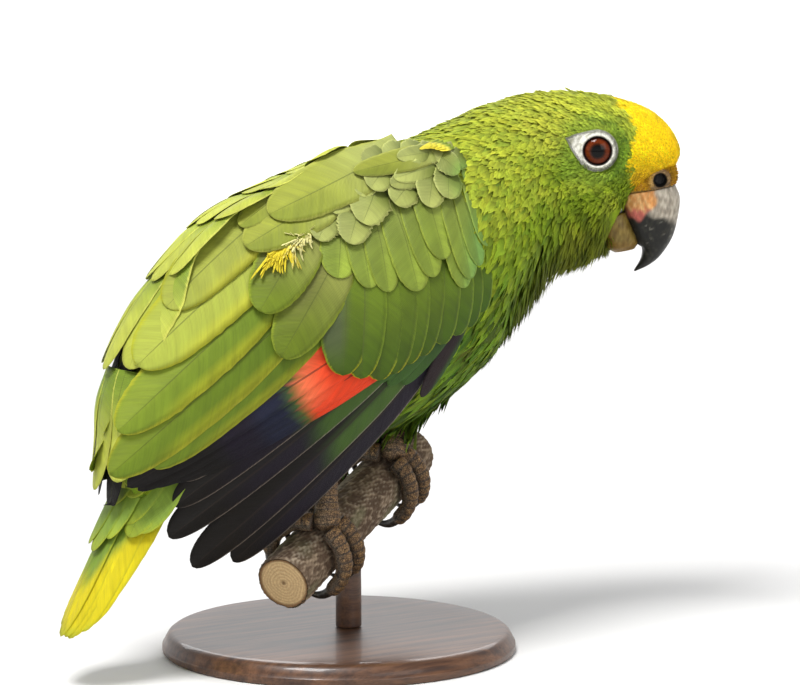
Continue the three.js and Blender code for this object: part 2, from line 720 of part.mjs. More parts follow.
/** The palm and shank of one leg in one piece. */
function shank(foot, pad = 0) {
  const ankle = ankleOf(foot);
  const path = [ankle, ankle.clone().lerp(foot.knee, 0.35), foot.knee];
  const stem = taperedTube(path, LEG.shankRadii.map((r) => r + pad), 8, 1);
  const pads = new THREE.SphereGeometry(LEG.palmRadius + pad, 10, 7).translate(ankle.x, ankle.y, ankle.z);
  return stem.add(solid(pads));
}

/** The feathered thigh of one leg. */
function thigh(foot, pad = 0) {
  const ankle = ankleOf(foot);
  const low = ankle.clone().lerp(foot.knee, 0.62);
  const path = [low, low.clone().lerp(foot.knee, 0.5), foot.knee, foot.hip];
  return taperedTube(path, LEG.thighRadii.map((r) => r + pad), 12, 2);
}

// ---------------------------------------------------------------- assembly

const finish = (color, roughness) => new THREE.MeshStandardMaterial({ color, roughness, metalness: 0 });
const FINISH = {
  green: finish(0x5f8f24, 0.75),
  lime: finish(0x7aa02c, 0.75),
  dark: finish(0x2a2630, 0.7),
  yellow: finish(0xe6c21c, 0.75),
  horn: finish(0x4a474a, 0.35),
  cere: finish(0xa98a78, 0.6),
  skin: finish(0xdedbd2, 0.7),
  eye: finish(0x6a2c12, 0.1),
  scale: finish(0x77685a, 0.7),
  bark: finish(0x6e5846, 0.85),
  stand: finish(0x3b3a38, 0.5),
};

const group = new THREE.Group();

/** Adds a solid to the model as a named mesh. */
function place(name, body, material) {
  const { vertProperties, triVerts } = largest(body).getMesh();
  const geometry = new THREE.BufferGeometry();
  geometry.setAttribute("position", new THREE.BufferAttribute(new Float32Array(vertProperties), 3));
  geometry.setIndex(new THREE.BufferAttribute(new Uint32Array(triVerts), 1));
  geometry.computeVertexNormals();
  const mesh = new THREE.Mesh(geometry, material);
  mesh.name = name;
  group.add(mesh);
}

const cutBy = (body, ...tools) => tools.reduce((left, tool) => left.subtract(tool), body);

const sides = [
  ["left", 1],
  ["right", -1],
];

const upperGrown = billPiece(BILL_UPPER, GROW);
const cereGrown = billPiece(CERE, GROW);
const lowerGrown = billPiece(BILL_LOWER, GROW);

const headCut = cutBy(
  headWhole(),
  upperGrown,
  cereGrown,
  lowerGrown,
  ...sides.map(([, side]) => socket(side)),
);
place("head", headCut, FINISH.green);
place("neck", neckWhole().subtract(lowerGrown), FINISH.green);
place("cere", cutBy(billPiece(CERE), upperGrown, nostril(1), nostril(-1)), FINISH.cere);
place("bill_upper", billPiece(BILL_UPPER), FINISH.horn);
place("bill_lower", cutBy(billPiece(BILL_LOWER), upperGrown), FINISH.horn);
for (const [name, side] of sides) {
  place(`eye_${name}`, eyeball(side), FINISH.eye);
  place(`eyelid_${name}`, lidRing(side), FINISH.skin);
}

const torsoGrown = torsoWhole(GROW);
const neckGrown = neckWhole(GROW);
place("torso", torsoWhole(), FINISH.green);

const shanks = feet.map((foot) => shank(foot));
const thighs = feet.map((foot) => thigh(foot));
feet.forEach((foot, i) => {
  const toesGrown = TOES.map((spec) => toe(foot.centre, spec, GROW));
  place(`thigh_${foot.side}`, cutBy(thighs[i], torsoGrown, shank(foot, GROW), ...toesGrown), FINISH.green);
  place(`shank_${foot.side}`, cutBy(shanks[i], torsoGrown, perch(GROW)), FINISH.scale);
  TOES.forEach((spec) => {
    const name = `${foot.side}_${spec.name}`;
    const grown = toe(foot.centre, spec, GROW);
    place(`toe_${name}`, toe(foot.centre, spec).subtract(shank(foot, GROW)), FINISH.scale);
    place(`claw_${name}`, cutBy(claw(foot.centre, spec), grown, perch(GROW)), FINISH.horn);
  });
});

const thighsGrown = feet.map((foot) => thigh(foot, GROW));
const midline = solid(new THREE.BoxGeometry(400, 2 * GAP, 400));
for (const [name, hold] of Object.entries(HOLD)) {
  const body = [torsoGrown, neckGrown, midline, ...thighsGrown];
  place(`wing_${name}_coverts`, cutBy(coverts(hold), flightSpace(hold), ...body), FINISH.lime);
  place(`wing_${name}_secondaries`, cutBy(flightFeathers(hold, SECONDARY, 0), ...body), FINISH.green);
  place(`wing_${name}_primaries`, cutBy(flightFeathers(hold, PRIMARY, hold.fold * RAD), ...body), FINISH.dark);
}
place("tail", cutBy(tail(), torsoGrown), FINISH.yellow);

place("perch", perch(), FINISH.bark);
const foot = PERCH.far.clone().lerp(PERCH.near, 0.5);
const rod = new THREE.CylinderGeometry(ROD.radius, ROD.radius, foot.z - BASE.thick - GAP, 20);
rod.rotateX(PI / 2).translate(foot.x, foot.y, (foot.z + BASE.thick + GAP) / 2);
place("stand_rod", solid(rod).subtract(perch(GROW)), FINISH.stand);
const basePlate = new THREE.LatheGeometry(
  [
    [0, 0],
    [BASE.radius, 0],
    [BASE.radius, BASE.thick - BASE.chamfer],
    [BASE.radius - BASE.chamfer, BASE.thick],
    [0, BASE.thick],
  ].map(([x, y]) => new THREE.Vector2(x, y)),
  36,
).rotateX(PI / 2);
place("stand_base", solid(basePlate), FINISH.stand);

export default group;
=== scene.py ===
import logging
import math
from collections.abc import Callable
from dataclasses import dataclass, field
from enum import Enum

import bpy
import numpy as np
from bpy.types import Material, Mesh, Node, NodeSocket, NodeTree, Object
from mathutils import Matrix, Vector
from mathutils.bvhtree import BVHTree


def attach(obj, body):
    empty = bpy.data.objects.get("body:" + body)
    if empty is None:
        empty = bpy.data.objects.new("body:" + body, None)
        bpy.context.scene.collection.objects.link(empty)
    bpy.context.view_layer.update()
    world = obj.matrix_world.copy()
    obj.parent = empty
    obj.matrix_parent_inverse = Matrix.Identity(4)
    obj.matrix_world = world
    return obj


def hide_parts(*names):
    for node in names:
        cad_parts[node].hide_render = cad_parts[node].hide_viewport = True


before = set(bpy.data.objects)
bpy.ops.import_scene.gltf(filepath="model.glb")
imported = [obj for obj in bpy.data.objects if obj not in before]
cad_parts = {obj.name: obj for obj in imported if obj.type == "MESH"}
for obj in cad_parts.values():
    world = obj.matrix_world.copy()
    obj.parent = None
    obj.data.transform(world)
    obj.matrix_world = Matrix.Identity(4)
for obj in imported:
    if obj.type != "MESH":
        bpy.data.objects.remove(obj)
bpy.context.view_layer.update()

# A yellow-crowned amazon, life size, crouched on a cut branch over a plain stand.
# Sizes are in millimetres, in the frame of the solids, until a mesh is made.

MM = 0.001
log = logging.getLogger("parrot")

Array = np.ndarray
Rgb = tuple[float, float, float]
Point = tuple[float, float, float]


class Side(Enum):
    """The bird's own left and right, as the sign of +Y."""

    LEFT = 1
    RIGHT = -1

    @property
    def word(self) -> str:
        """The side's name as the nodes spell it."""
        return self.name.lower()


def tone(red: float, green: float, blue: float) -> Rgb:
    """A colour as linear light.

    Args:
        red: Red, 0 to 255, as on a screen.
        green: Green, 0 to 255.
        blue: Blue, 0 to 255.

    Returns:
        The three linear values.
    """
    return tuple(((c / 255 + 0.055) / 1.055) ** 2.4 if c > 10 else c / 3294.6 for c in (red, green, blue))


def opaque(colour: Rgb) -> tuple[float, float, float, float]:
    """A colour with full alpha, for a shader socket."""
    return (*colour, 1.0)


def fade(low: float, high: float, value: Array | float) -> Array:
    """A smooth step.

    Args:
        low: Where the step is 0.
        high: Where the step is 1; it may be below low.
        value: The numbers to step.

    Returns:
        Values from 0 to 1.
    """
    t = np.clip((np.asarray(value, float) - low) / (high - low), 0, 1)
    return t * t * (3 - 2 * t)


def blend(first: Array | Rgb, second: Array | Rgb, share: Array | float) -> Array:
    """Mixes two colours or points.

    Args:
        first: What share 0 gives.
        second: What share 1 gives.
        share: One share for each row.

    Returns:
        The mixed rows.
    """
    share = np.asarray(share, float)[..., None]
    return np.asarray(first, float) * (1 - share) + np.asarray(second, float) * share


def curve(line: Array | list, u: Array | float) -> Array:
    """Points of a smooth curve through evenly spread ones.

    Args:
        line: The points that the curve passes through.
        u: Shares of the way along it, 0 to 1.

    Returns:
        One point for each share.
    """
    points = np.asarray(line, float)
    spans = len(points) - 1
    spot = np.clip(np.asarray(u, float), 0, 1) * spans
    i = np.minimum(spot.astype(int), spans - 1)
    t = (spot - i)[..., None]
    padded = np.vstack([2 * points[0] - points[1], points, 2 * points[-1] - points[-2]])
    a, b, c, d = (padded[i + k] for k in range(4))
    return b + 0.5 * t * (c - a + t * (2 * a - 5 * b + 4 * c - d + t * (3 * b - a - 3 * c + d)))


def arch(start: Array, middle: Array, end: Array, s: Array) -> Array:
    """Rows of points on parabolas through three points each, at shares s of the way.

    Args:
        start: The first points.
        middle: The middle points.
        end: The last points.
        s: The shares, by point.

    Returns:
        The points by row.
    """
    return (
        start[:, None] * (1 - s) * (1 - 2 * s) + middle[:, None] * 4 * s * (1 - s)
        + end[:, None] * s * (2 * s - 1)
    )


def unit(vectors: Array) -> Array:
    """Vectors at length 1."""
    return vectors / np.maximum(np.linalg.norm(vectors, axis=-1, keepdims=True), 1e-9)


def circle(count: int) -> Array:
    """Angles spread evenly round a circle, in radians."""
    return np.arange(count) * 2 * math.pi / count


def ripple(points: Array, scale: float, seed: int) -> Array:
    """Smooth seeded noise from a few crossed waves.

    Args:
        points: Places, one row each.
        scale: The typical length of a wave.
        seed: Picks the waves.

    Returns:
        Values of about -1 to 1.
    """
    draw = np.random.default_rng(seed)
    total = np.zeros(points.shape[:-1])
    for _ in range(6):
        way = unit(draw.normal(size=points.shape[-1]))
        total += np.sin(
            points @ way * (2 * math.pi / scale) * draw.uniform(0.7, 1.5) + draw.uniform(0, 6.3)
        )
    return total / 2.6


# ------------------------------------------------------------------ meshes


def make_piece(
    name: str, points: Array, polygons: list[Array], maps: dict[str, Array] | None = None,
    tints: dict[str, Array] | None = None, facing: Array | None = None,
) -> Object:
    """Makes a mesh object from arrays.

    Args:
        name: The object's name.
        points: Its points in millimetres.
        polygons: Arrays of polygons, each of one number of corners.
        maps: UV maps by name, one pair for each point.
        tints: Colours by name, one for each point.
        facing: The normal to shade with at each corner of each polygon, or zeros for the mesh's own.

    Returns:
        The new object, smooth shaded.
    """
    mesh = bpy.data.meshes.new(name)
    points = np.asarray(points, np.float32).reshape(-1, 3)
    corners = np.concatenate([p.reshape(-1) for p in polygons]).astype(np.int32)
    sizes = np.concatenate([np.full(len(p), p.shape[1], np.int32) for p in polygons])
    mesh.vertices.add(len(points))
    mesh.vertices.foreach_set("co", (points * MM).ravel())
    mesh.loops.add(len(corners))
    mesh.loops.foreach_set("vertex_index", corners)
    mesh.polygons.add(len(sizes))
    mesh.polygons.foreach_set("loop_start", np.concatenate([[0], np.cumsum(sizes)[:-1]]).astype(np.int32))
    mesh.update(calc_edges=True)
    mesh.polygons.foreach_set("use_smooth", np.ones(len(sizes), bool))
    for key, places in (maps or {}).items():
        layer = mesh.uv_layers.new(name=key)
        layer.uv.foreach_set("vector", np.asarray(places, np.float32).reshape(-1, 2)[corners].ravel())
    for key, colours in (tints or {}).items():
        layer = mesh.attributes.new(key, "FLOAT_COLOR", "POINT")
        rgba = np.ones((len(points), 4), np.float32)
        rgba[:, :3] = colours.reshape(-1, 3)
        layer.data.foreach_set("color", rgba.ravel())
    if facing is not None:
        mesh.normals_split_custom_set(facing)
    piece = bpy.data.objects.new(name, mesh)
    bpy.context.scene.collection.objects.link(piece)
    return piece


def dress(piece: Object, material: Material, slot: str, *nodes: str) -> Object:
    """Gives a piece its material and its place in the model.

    Args:
        piece: The piece.
        material: Its material.
        slot: The record's slot that its finish belongs to; it is not used.
        *nodes: The solids that it stands for.

    Returns:
        The same piece.
    """
    piece.data.materials.append(material)
    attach(piece, "root")
    if nodes:
        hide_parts(*nodes)
    log.info("%s: %d faces", piece.name, len(piece.data.polygons))
    return piece


def stained_piece(
    name: str, points: Array, polygons: list[Array], stain: Array, material: Material, slot: str,
    *nodes: str,
) -> Object:
    """Makes and dresses a piece that carries its colours as a stain.

    Args:
        name: The piece's name.
        points: Its points in millimetres.
        polygons: Arrays of polygons.
        stain: One colour for each point.
        material: Its material.
        slot: Its slot.
        *nodes: The solids that it stands for.

    Returns:
        The piece.
    """
    made = make_piece(name, points, polygons, {}, {"stain": stain})
    return dress(made, material, slot, *nodes)


def grid_quads(rows: int, columns: int, closed: bool = False, first: int = 0) -> Array:
    """Quads of a grid of points.

    Args:
        rows: How many rows.
        columns: How many points in a row.
        closed: Whether each row runs round and joins up.
        first: The number of the first point.

    Returns:
        One row of four point numbers for each quad.
    """
    across = columns if closed else columns - 1
    i, j = np.meshgrid(np.arange(rows - 1), np.arange(across), indexing="ij")
    k = (j + 1) % columns
    quads = np.stack([i * columns + j, i * columns + k, (i + 1) * columns + k, (i + 1) * columns + j], -1)
    return quads.reshape(-1, 4) + first


def sheet_quads(rows: int, columns: int) -> Array:
    """Quads of a closed sheet: a grid of points, the same grid under it and the wall round both.

    Args:
        rows: Rows of the grid.
        columns: Points in a row.

    Returns:
        One row of four point numbers for each quad.
    """
    top = grid_quads(rows, columns)
    under = top[:, ::-1] + rows * columns
    rim = np.concatenate(
        [
            np.arange(columns), np.arange(1, rows) * columns + columns - 1,
            (rows - 1) * columns + np.arange(columns - 2, -1, -1), np.arange(rows - 2, 0, -1) * columns,
        ]
    )
    after = np.roll(rim, -1)
    wall = np.stack([after, rim, rim + rows * columns, after + rows * columns], 1)
    return np.vstack([top, under, wall])


def fans(blocks: list[Array]) -> Array:
    """The triangles of arrays of polygons."""
    return np.vstack([p[:, [0, k, k + 1]] for p in blocks for k in range(1, p.shape[1] - 1)])


def search_tree(points: Array, blocks: list[Array]) -> BVHTree:
    """A tree that finds the nearest place on a mesh."""
    return BVHTree.FromPolygons(
        [tuple(p) for p in points.tolist()], [tuple(p) for block in blocks for p in block.tolist()]
    )


def tube_polygons(rows: int, columns: int) -> list[Array]:
    """Quads of a closed tube of rings, with a polygon on each end.

    Args:
        rows: How many rings.
        columns: Points in a ring.

    Returns:
        The quads, the first end and the last one.
    """
    first = np.arange(columns)[None, ::-1]
    last = np.arange(columns)[None, :] + (rows - 1) * columns
    return [grid_quads(rows, columns, closed=True), first, last]


def rings_round(path: Array, first: Array, second: Array, radii: Array) -> Array:
    """Rings of points round a path.

    Args:
        path: The middle of each ring.
        first: The way from each ring's middle to its first point.
        second: The way to the point a quarter of the ring further on.
        radii: The distance of each point of each ring.

    Returns:
        The points by ring.
    """
    turn = circle(radii.shape[1])
    lean = first[:, None] * np.cos(turn)[None, :, None] + second[:, None] * np.sin(turn)[None, :, None]
    return path[:, None] + lean * radii[..., None]


def tube(path: Array, radii: Array, up: Array) -> Array:
    """Rings of points round a path, the first point of each leaning up.

    Args:
        path: The middle of each ring.
        radii: The distance of each point of each ring.
        up: The way that first points lean.

    Returns:
        The points by ring.
    """
    way = unit(np.gradient(path, axis=0))
    side = unit(np.cross(way, up))
    return rings_round(path, np.cross(side, way), -side, radii)


def turned_out(polygons: list[Array], points: Array) -> list[Array]:
    """The polygons, turned so that they face out of a tube of points by ring.

    Args:
        polygons: Arrays of polygons.
        points: The tube's points by ring.

    Returns:
        The same polygons, or all of them reversed.
    """
    mid = len(points) // 2
    corner, across, along = points[mid, 0], points[mid, 1], points[mid + 1, 0]
    out = corner - points[mid].mean(0)
    turned = np.cross(across - corner, along - corner) @ out
    return polygons if turned > 0 else [p[:, ::-1] for p in polygons]


def node_arrays(name: str) -> tuple[Array, Array]:
    """Points and triangles of one of the solids, in millimetres.

    Args:
        name: The solid's node.

    Returns:
        The points and the triangles.
    """
    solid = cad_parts[name]
    mesh = solid.data
    mesh.calc_loop_triangles()
    points = np.empty(len(mesh.vertices) * 3, np.float32)
    mesh.vertices.foreach_get("co", points)
    matrix = np.array(solid.matrix_world)
    triangles = np.empty(len(mesh.loop_triangles) * 3, np.int32)
    mesh.loop_triangles.foreach_get("vertices", triangles)
    placed = points.reshape(-1, 3) @ matrix[:3, :3].T + matrix[:3, 3]
    return placed / MM, triangles.reshape(-1, 3)


# ------------------------------------------------------------------ shaders


class Graph:
    """A node tree that is wired with short calls."""

    def __init__(self, tree: NodeTree, material: Material | None = None) -> None:
        """Wires that tree, which may be a material's."""
        self.tree = tree
        self.material = material

    def add(self, kind: str, *values: object, **settings: object) -> Node:
        """Adds a node.

        Args:
            kind: The node's type, without its prefix.
            *values: What its inputs take, in their order: a number, a colour, a socket or None.
            **settings: The node's own properties.

        Returns:
            The node.
        """
        node = self.tree.nodes.new(f"ShaderNode{kind}")
        node.location.x = 180 * len(self.tree.nodes)
        for key, value in settings.items():
            setattr(node, key, value)
        for socket, value in zip(node.inputs, values):
            self.feed(socket, value)
        return node

    def feed(self, socket: NodeSocket, value: object) -> None:
        """Links a socket to an input, or sets the input's own value.

        Args:
            socket: The input.
            value: A socket, a number, a colour or None.
        """
        if isinstance(value, NodeSocket):
            self.tree.links.new(value, socket)
        elif value is not None:
            socket.default_value = value

    def math(self, operation: str, *values: object) -> NodeSocket:
        """A Math node's result."""
        return self.add("Math", *values, operation=operation).outputs[0]

    def step(self, value: object, low: float, high: float) -> NodeSocket:
        """A smooth step of a value from 0 at low to 1 at high."""
        node = self.add("MapRange", value, low, high, 0.0, 1.0, interpolation_type="SMOOTHSTEP")
        return node.outputs[0]

    def mix(self, share: object, first: object, second: object, way: str = "MIX") -> NodeSocket:
        """A colour mixed of two.

        Args:
            share: How much of the second.
            first: A colour or a socket.
            second: Another.
            way: The blend type.

        Returns:
            The mixed colour.
        """
        node = self.add("Mix", share, data_type="RGBA", blend_type=way)
        self.feed(node.inputs[6], first)
        self.feed(node.inputs[7], second)
        return node.outputs[2]

    def noise(self, place: object, scale: object, detail: float = 3.0, rough: float = 0.55) -> NodeSocket:
        """A Noise texture's value.

        Args:
            place: Where it is read.
            scale: Its scale.
            detail: Its octaves.
            rough: Its roughness.

        Returns:
            The value.
        """
        node = self.add("TexNoise", place)
        for key, value in (("Scale", scale), ("Detail", detail), ("Roughness", rough)):
            self.feed(node.inputs[key], value)
        return node.outputs[0]

    def place(self) -> NodeSocket:
        """Where a point is on the object, in metres."""
        return self.add("TexCoord").outputs["Object"]

    def tint(self, name: str) -> NodeSocket:
        """The colour that a mesh carries under a name."""
        return self.add("Attribute", attribute_name=name).outputs["Color"]

    def group(self, tree: NodeTree, **values: object) -> Node:
        """Adds a node group.

        Args:
            tree: The group's tree.
            **values: Its inputs by name, with an underscore for each space.

        Returns:
            The node.
        """
        node = self.add("Group", node_tree=tree)
        for key, value in values.items():
            self.feed(node.inputs[key.replace("_", " ")], value)
        return node


def new_group(
    name: str, inputs: dict[str, object], outputs: dict[str, str]
) -> tuple[Graph, object, object]:
    """Starts a shader node group.

    Args:
        name: The group's name.
        inputs: Its inputs: a number for a value, or four for a colour.
        outputs: Its outputs and their kinds, "Float" or "Color".

    Returns:
        Its graph, the sockets that it is given and the sockets that it fills.
    """
    tree = bpy.data.node_groups.new(name, "ShaderNodeTree")
    for key, value in inputs.items():
        kind = "NodeSocketFloat" if isinstance(value, float) else "NodeSocketColor"
        tree.interface.new_socket(key, in_out="INPUT", socket_type=kind).default_value = value
    for key, kind in outputs.items():
        tree.interface.new_socket(key, in_out="OUTPUT", socket_type=f"NodeSocket{kind}")
    graph = Graph(tree)
    return graph, tree.nodes.new("NodeGroupInput").outputs, tree.nodes.new("NodeGroupOutput").inputs


def barb_group() -> NodeTree:
    """The look of a vane: barbs, a rim that follows its outline, and a shaft down its middle.

    Returns:
        The group.
    """
    inputs = {
        "Web": (0.5, 0.5, 0.5, 1.0), "Edge": (0.5, 0.5, 0.5, 1.0), "Shaft": (0.1, 0.1, 0.1, 1.0),
        "Rim": 0.8, "Shaft Width": 0.05, "Shaft Amount": 0.5, "Barb Pitch": 0.6, "Contrast": 0.3,
        "Lane Run": 1.0, "Lane Across": 0.9,
    }
    graph, given, out = new_group(
        "Vane barbs", inputs, {"Color": "Color", "Height": "Float", "Wear": "Float"}
    )
    spot = graph.add("UVMap", uv_map="Vane").outputs[0]
    parts = graph.add("SeparateXYZ", spot)
    run = graph.math("MULTIPLY", parts.outputs[0], 100.0)
    across = graph.math("MULTIPLY_ADD", parts.outputs[1], 2.0, -1.0)
    out_way = graph.math("ABSOLUTE", across)
    lane_run = graph.math("MULTIPLY", run, given["Lane Run"])
    lane_across = graph.math("MULTIPLY", across, given["Lane Across"])
    lanes = graph.add("CombineXYZ", lane_run, lane_across, 0.0).outputs[0]
    streak = graph.noise(lanes, 1.1, 4.0, 0.65)
    tuft = graph.noise(lanes, 0.22, 2.0)
    wobble = graph.math("MULTIPLY", streak, 3.0)
    phase = graph.math("DIVIDE", graph.math("MULTIPLY", run, 2 * math.pi), given["Barb Pitch"])
    wave = graph.math("SINE", graph.math("ADD", phase, wobble))
    mottle = graph.math("ADD", graph.math("MULTIPLY", wave, 0.12), graph.math("SUBTRACT", streak, 0.5))
    broad = graph.math("SUBTRACT", tuft, 0.5)
    shade = graph.math("MULTIPLY_ADD", graph.math("ADD", mottle, broad), given["Contrast"], 1.0)
    ragged = graph.math("ADD", out_way, graph.math("MULTIPLY", graph.math("SUBTRACT", streak, 0.5), 0.22))
    rim_end = graph.math("ADD", given["Rim"], 0.14)
    rim = graph.add("MapRange", ragged, given["Rim"], rim_end, interpolation_type="SMOOTHSTEP").outputs[0]
    colour = graph.mix(rim, given["Web"], given["Edge"])
    grey = graph.add("CombineColor", shade, shade, shade).outputs[0]
    colour = graph.mix(1.0, colour, grey, "MULTIPLY")
    core = graph.math("LESS_THAN", out_way, given["Shaft Width"])
    colour = graph.mix(graph.math("MULTIPLY", core, given["Shaft Amount"]), colour, given["Shaft"])
    ridge = graph.math("MULTIPLY", graph.math("MULTIPLY", core, given["Shaft Amount"]), 1.6)
    height = graph.math("ADD", graph.math("MULTIPLY", wave, 0.5), ridge)
    graph.feed(out["Color"], colour)
    graph.feed(out["Height"], graph.math("ADD", height, streak))
    graph.feed(out["Wear"], streak)
    return graph.tree


def grain_group() -> NodeTree:
    """Fine mottling and relief for horn, skin, bark and wood, stretched along one axis.

    Returns:
        The group.
    """
    inputs = {"Stretch X": 1.0, "Stretch Y": 1.0, "Stretch Z": 1.0, "Scale": 300.0, "Low": 0.4, "High": 0.6}
    graph, given, out = new_group("Grain", inputs, {"Mask": "Float", "Height": "Float"})
    stretch = graph.add("CombineXYZ", *(given[f"Stretch {axis}"] for axis in "XYZ")).outputs[0]
    place = graph.add("VectorMath", graph.place(), stretch, operation="MULTIPLY").outputs[0]
    mottle = graph.noise(place, given["Scale"], 6.0, 0.62)
    step = graph.add("MapRange", mottle, given["Low"], given["High"])
    graph.feed(out["Mask"], step.outputs[0])
    graph.feed(out["Height"], mottle)
    return graph.tree


COAT_ROUGHNESS = 0.06


@dataclass(frozen=True)
class Groups:
    """The node groups that the materials share."""

    barbs: NodeTree = field(default_factory=barb_group)
    grain: NodeTree = field(default_factory=grain_group)


@dataclass(frozen=True)
class Finish:
    """What every finish has: a name, a gloss and a relief."""

    name: str
    rough: float = 0.6
    specular: float = 0.4
    relief: float = 0.0001
    coat: float = 0.0

    def start(self) -> tuple[Graph, Node]:
        """A new material's graph and its Principled BSDF.

        Returns:
            The graph and the shader.
        """
        material = bpy.data.materials.new(self.name)
        material.use_nodes = True
        graph = Graph(material.node_tree, material)
        shader = material.node_tree.nodes["Principled BSDF"]
        values = {"Roughness": self.rough, "Specular IOR Level": self.specular}
        values |= {"Coat Weight": self.coat, "Coat Roughness": COAT_ROUGHNESS}
        for key, value in values.items():
            shader.inputs[key].default_value = value
        return graph, shader

    def finish(self, graph: Graph, shader: Node, colour: object, height: object = None) -> Material:
        """Joins colour and relief to the shader.

        Args:
            graph: The material's graph.
            shader: Its Principled BSDF.
            colour: A colour or a socket.
            height: A socket that gives the relief, if any.

        Returns:
            The material.
        """
        graph.feed(shader.inputs["Base Color"], colour)
        if height is not None:
            bump = graph.add("Bump")
            bump.inputs["Strength"].default_value = 1.0
            bump.inputs["Distance"].default_value = self.relief
            graph.feed(bump.inputs["Height"], height)
            graph.feed(shader.inputs["Normal"], bump.outputs[0])
        return graph.material


@dataclass(frozen=True)
class Plumage(Finish):
    """Feathers: each point's own web and edge colours under barbs, a rim and a shaft."""

    rim: float = 0.8
    shaft: Rgb = tone(60, 70, 30)
    shaft_width: float = 0.05
    shaft_amount: float = 0.5
    pitch: float = 0.6
    contrast: float = 0.3
    lane_run: float = 1.0
    lane_across: float = 0.9

    def material(self, groups: Groups) -> Material:
        """The finished material.

        Args:
            groups: The shared node groups.

        Returns:
            The material.
        """
        graph, shader = self.start()
        barbs = graph.group(
            groups.barbs, Web=graph.tint("web"), Edge=graph.tint("edge"), Shaft=opaque(self.shaft),
            Rim=self.rim, Shaft_Width=self.shaft_width, Shaft_Amount=self.shaft_amount,
            Barb_Pitch=self.pitch, Contrast=self.contrast, Lane_Run=self.lane_run,
            Lane_Across=self.lane_across,
        )
        rough = graph.add("MapRange", barbs.outputs["Wear"], 0.3, 0.7, self.rough - 0.1, self.rough + 0.1)
        graph.feed(shader.inputs["Roughness"], rough.outputs[0])
        return self.finish(graph, shader, barbs.outputs["Color"], barbs.outputs["Height"])


@dataclass(frozen=True)
class Stained(Finish):
    """Horn, skin or scale that takes the mesh's own stain, with grain over it."""

    dark: float = 0.6
    scale: float = 700.0
    stretch: Point = (1.0, 1.0, 1.0)
    span: tuple[float, float] = (0.42, 0.6)
    cells: float = 0.0
    cell_depth: float = 0.5

    def material(self, groups: Groups) -> Material:
        """The finished material.

        Args:
            groups: The shared node groups.

        Returns:
            The material.
        """
        graph, shader = self.start()
        grain = graph.group(
            groups.grain, Stretch_X=self.stretch[0], Stretch_Y=self.stretch[1], Stretch_Z=self.stretch[2],
            Scale=self.scale, Low=self.span[0], High=self.span[1],
        )
        stain = graph.tint("stain")
        deep = graph.mix(1.0, stain, (self.dark, self.dark, self.dark, 1.0), "MULTIPLY")
        colour = graph.mix(grain.outputs["Mask"], deep, stain)
        height = grain.outputs["Height"]
        if self.cells:
            cells = graph.add("TexVoronoi", graph.place(), feature="DISTANCE_TO_EDGE")
            cells.inputs["Scale"].default_value = self.cells
            plate = graph.step(cells.outputs["Distance"], 0.0, 0.16)
            colour = graph.mix(graph.math("SUBTRACT", 1.0, plate), colour, opaque((0.012, 0.009, 0.007)))
            height = graph.math("MULTIPLY_ADD", plate, self.cell_depth, grain.outputs["Height"])
        rough = graph.add("MapRange", grain.outputs["Mask"], 0.0, 1.0, self.rough + 0.12, self.rough - 0.06)
        graph.feed(shader.inputs["Roughness"], rough.outputs[0])
        return self.finish(graph, shader, colour, height)


# ------------------------------------------------------------------ where things are

HEAD_AT = np.array([95.0, -6.0, 185.0])
HEAD_TURN = math.radians(33)
HEAD_AXES = np.array(
    [
        [math.cos(HEAD_TURN), -math.sin(HEAD_TURN), 0.0], [math.sin(HEAD_TURN), math.cos(HEAD_TURN), 0.0],
        [0.0, 0.0, 1.0],
    ]
)


def from_head(points: Array | list) -> Array:
    """Places in the model from places in the head's frame: x to the bill, y out of the left cheek, z up."""
    return np.asarray(points, float) @ HEAD_AXES + HEAD_AT


def to_head(points: Array) -> Array:
    """Places in the head's frame."""
    return (points - HEAD_AT) @ HEAD_AXES.T


@dataclass(frozen=True)
class EyePlace:
    """Where the eyes sit in the head's frame, and how large they are."""

    x: float = 16.6
    z: float = 5.0
    out: float = 15.6
    ball: float = 7.4
    iris: float = 4.85
    pupil: float = 2.25
    opening: float = 5.35
    ring: float = 7.25
    corner: float = 13.6
    corner_turn: float = 158.0

    def ring_reach(self, turn: Array) -> Array:
        """How far the bare ring reaches at an angle from the bill's way, upwards, in radians.

        Args:
            turn: The angle, in radians.

        Returns:
            The distance from the eye's middle.
        """
        off = np.abs((np.degrees(turn) - self.corner_turn + 180) % 360 - 180)
        touch = math.acos(self.ring / self.corner)
        flare = self.ring / np.cos(np.clip(touch - np.radians(off), 0, touch))
        return flare - 0.9 * np.exp(-((off / 9) ** 2))

    def covers(self, head: Array) -> Array:
        """How far inside the bare ring places in the head's frame are; below 0 they are outside.

        Args:
            head: Places in the head's frame.

        Returns:
            Distances in from the ring's rim.
        """
        dx, dz = head[:, 0] - self.x, head[:, 2] - self.z
        reach = self.ring_reach(np.arctan2(dz, dx))
        return np.where(np.abs(head[:, 1]) > 10, reach - np.hypot(dx, dz), -99.0)


EYE = EyePlace()


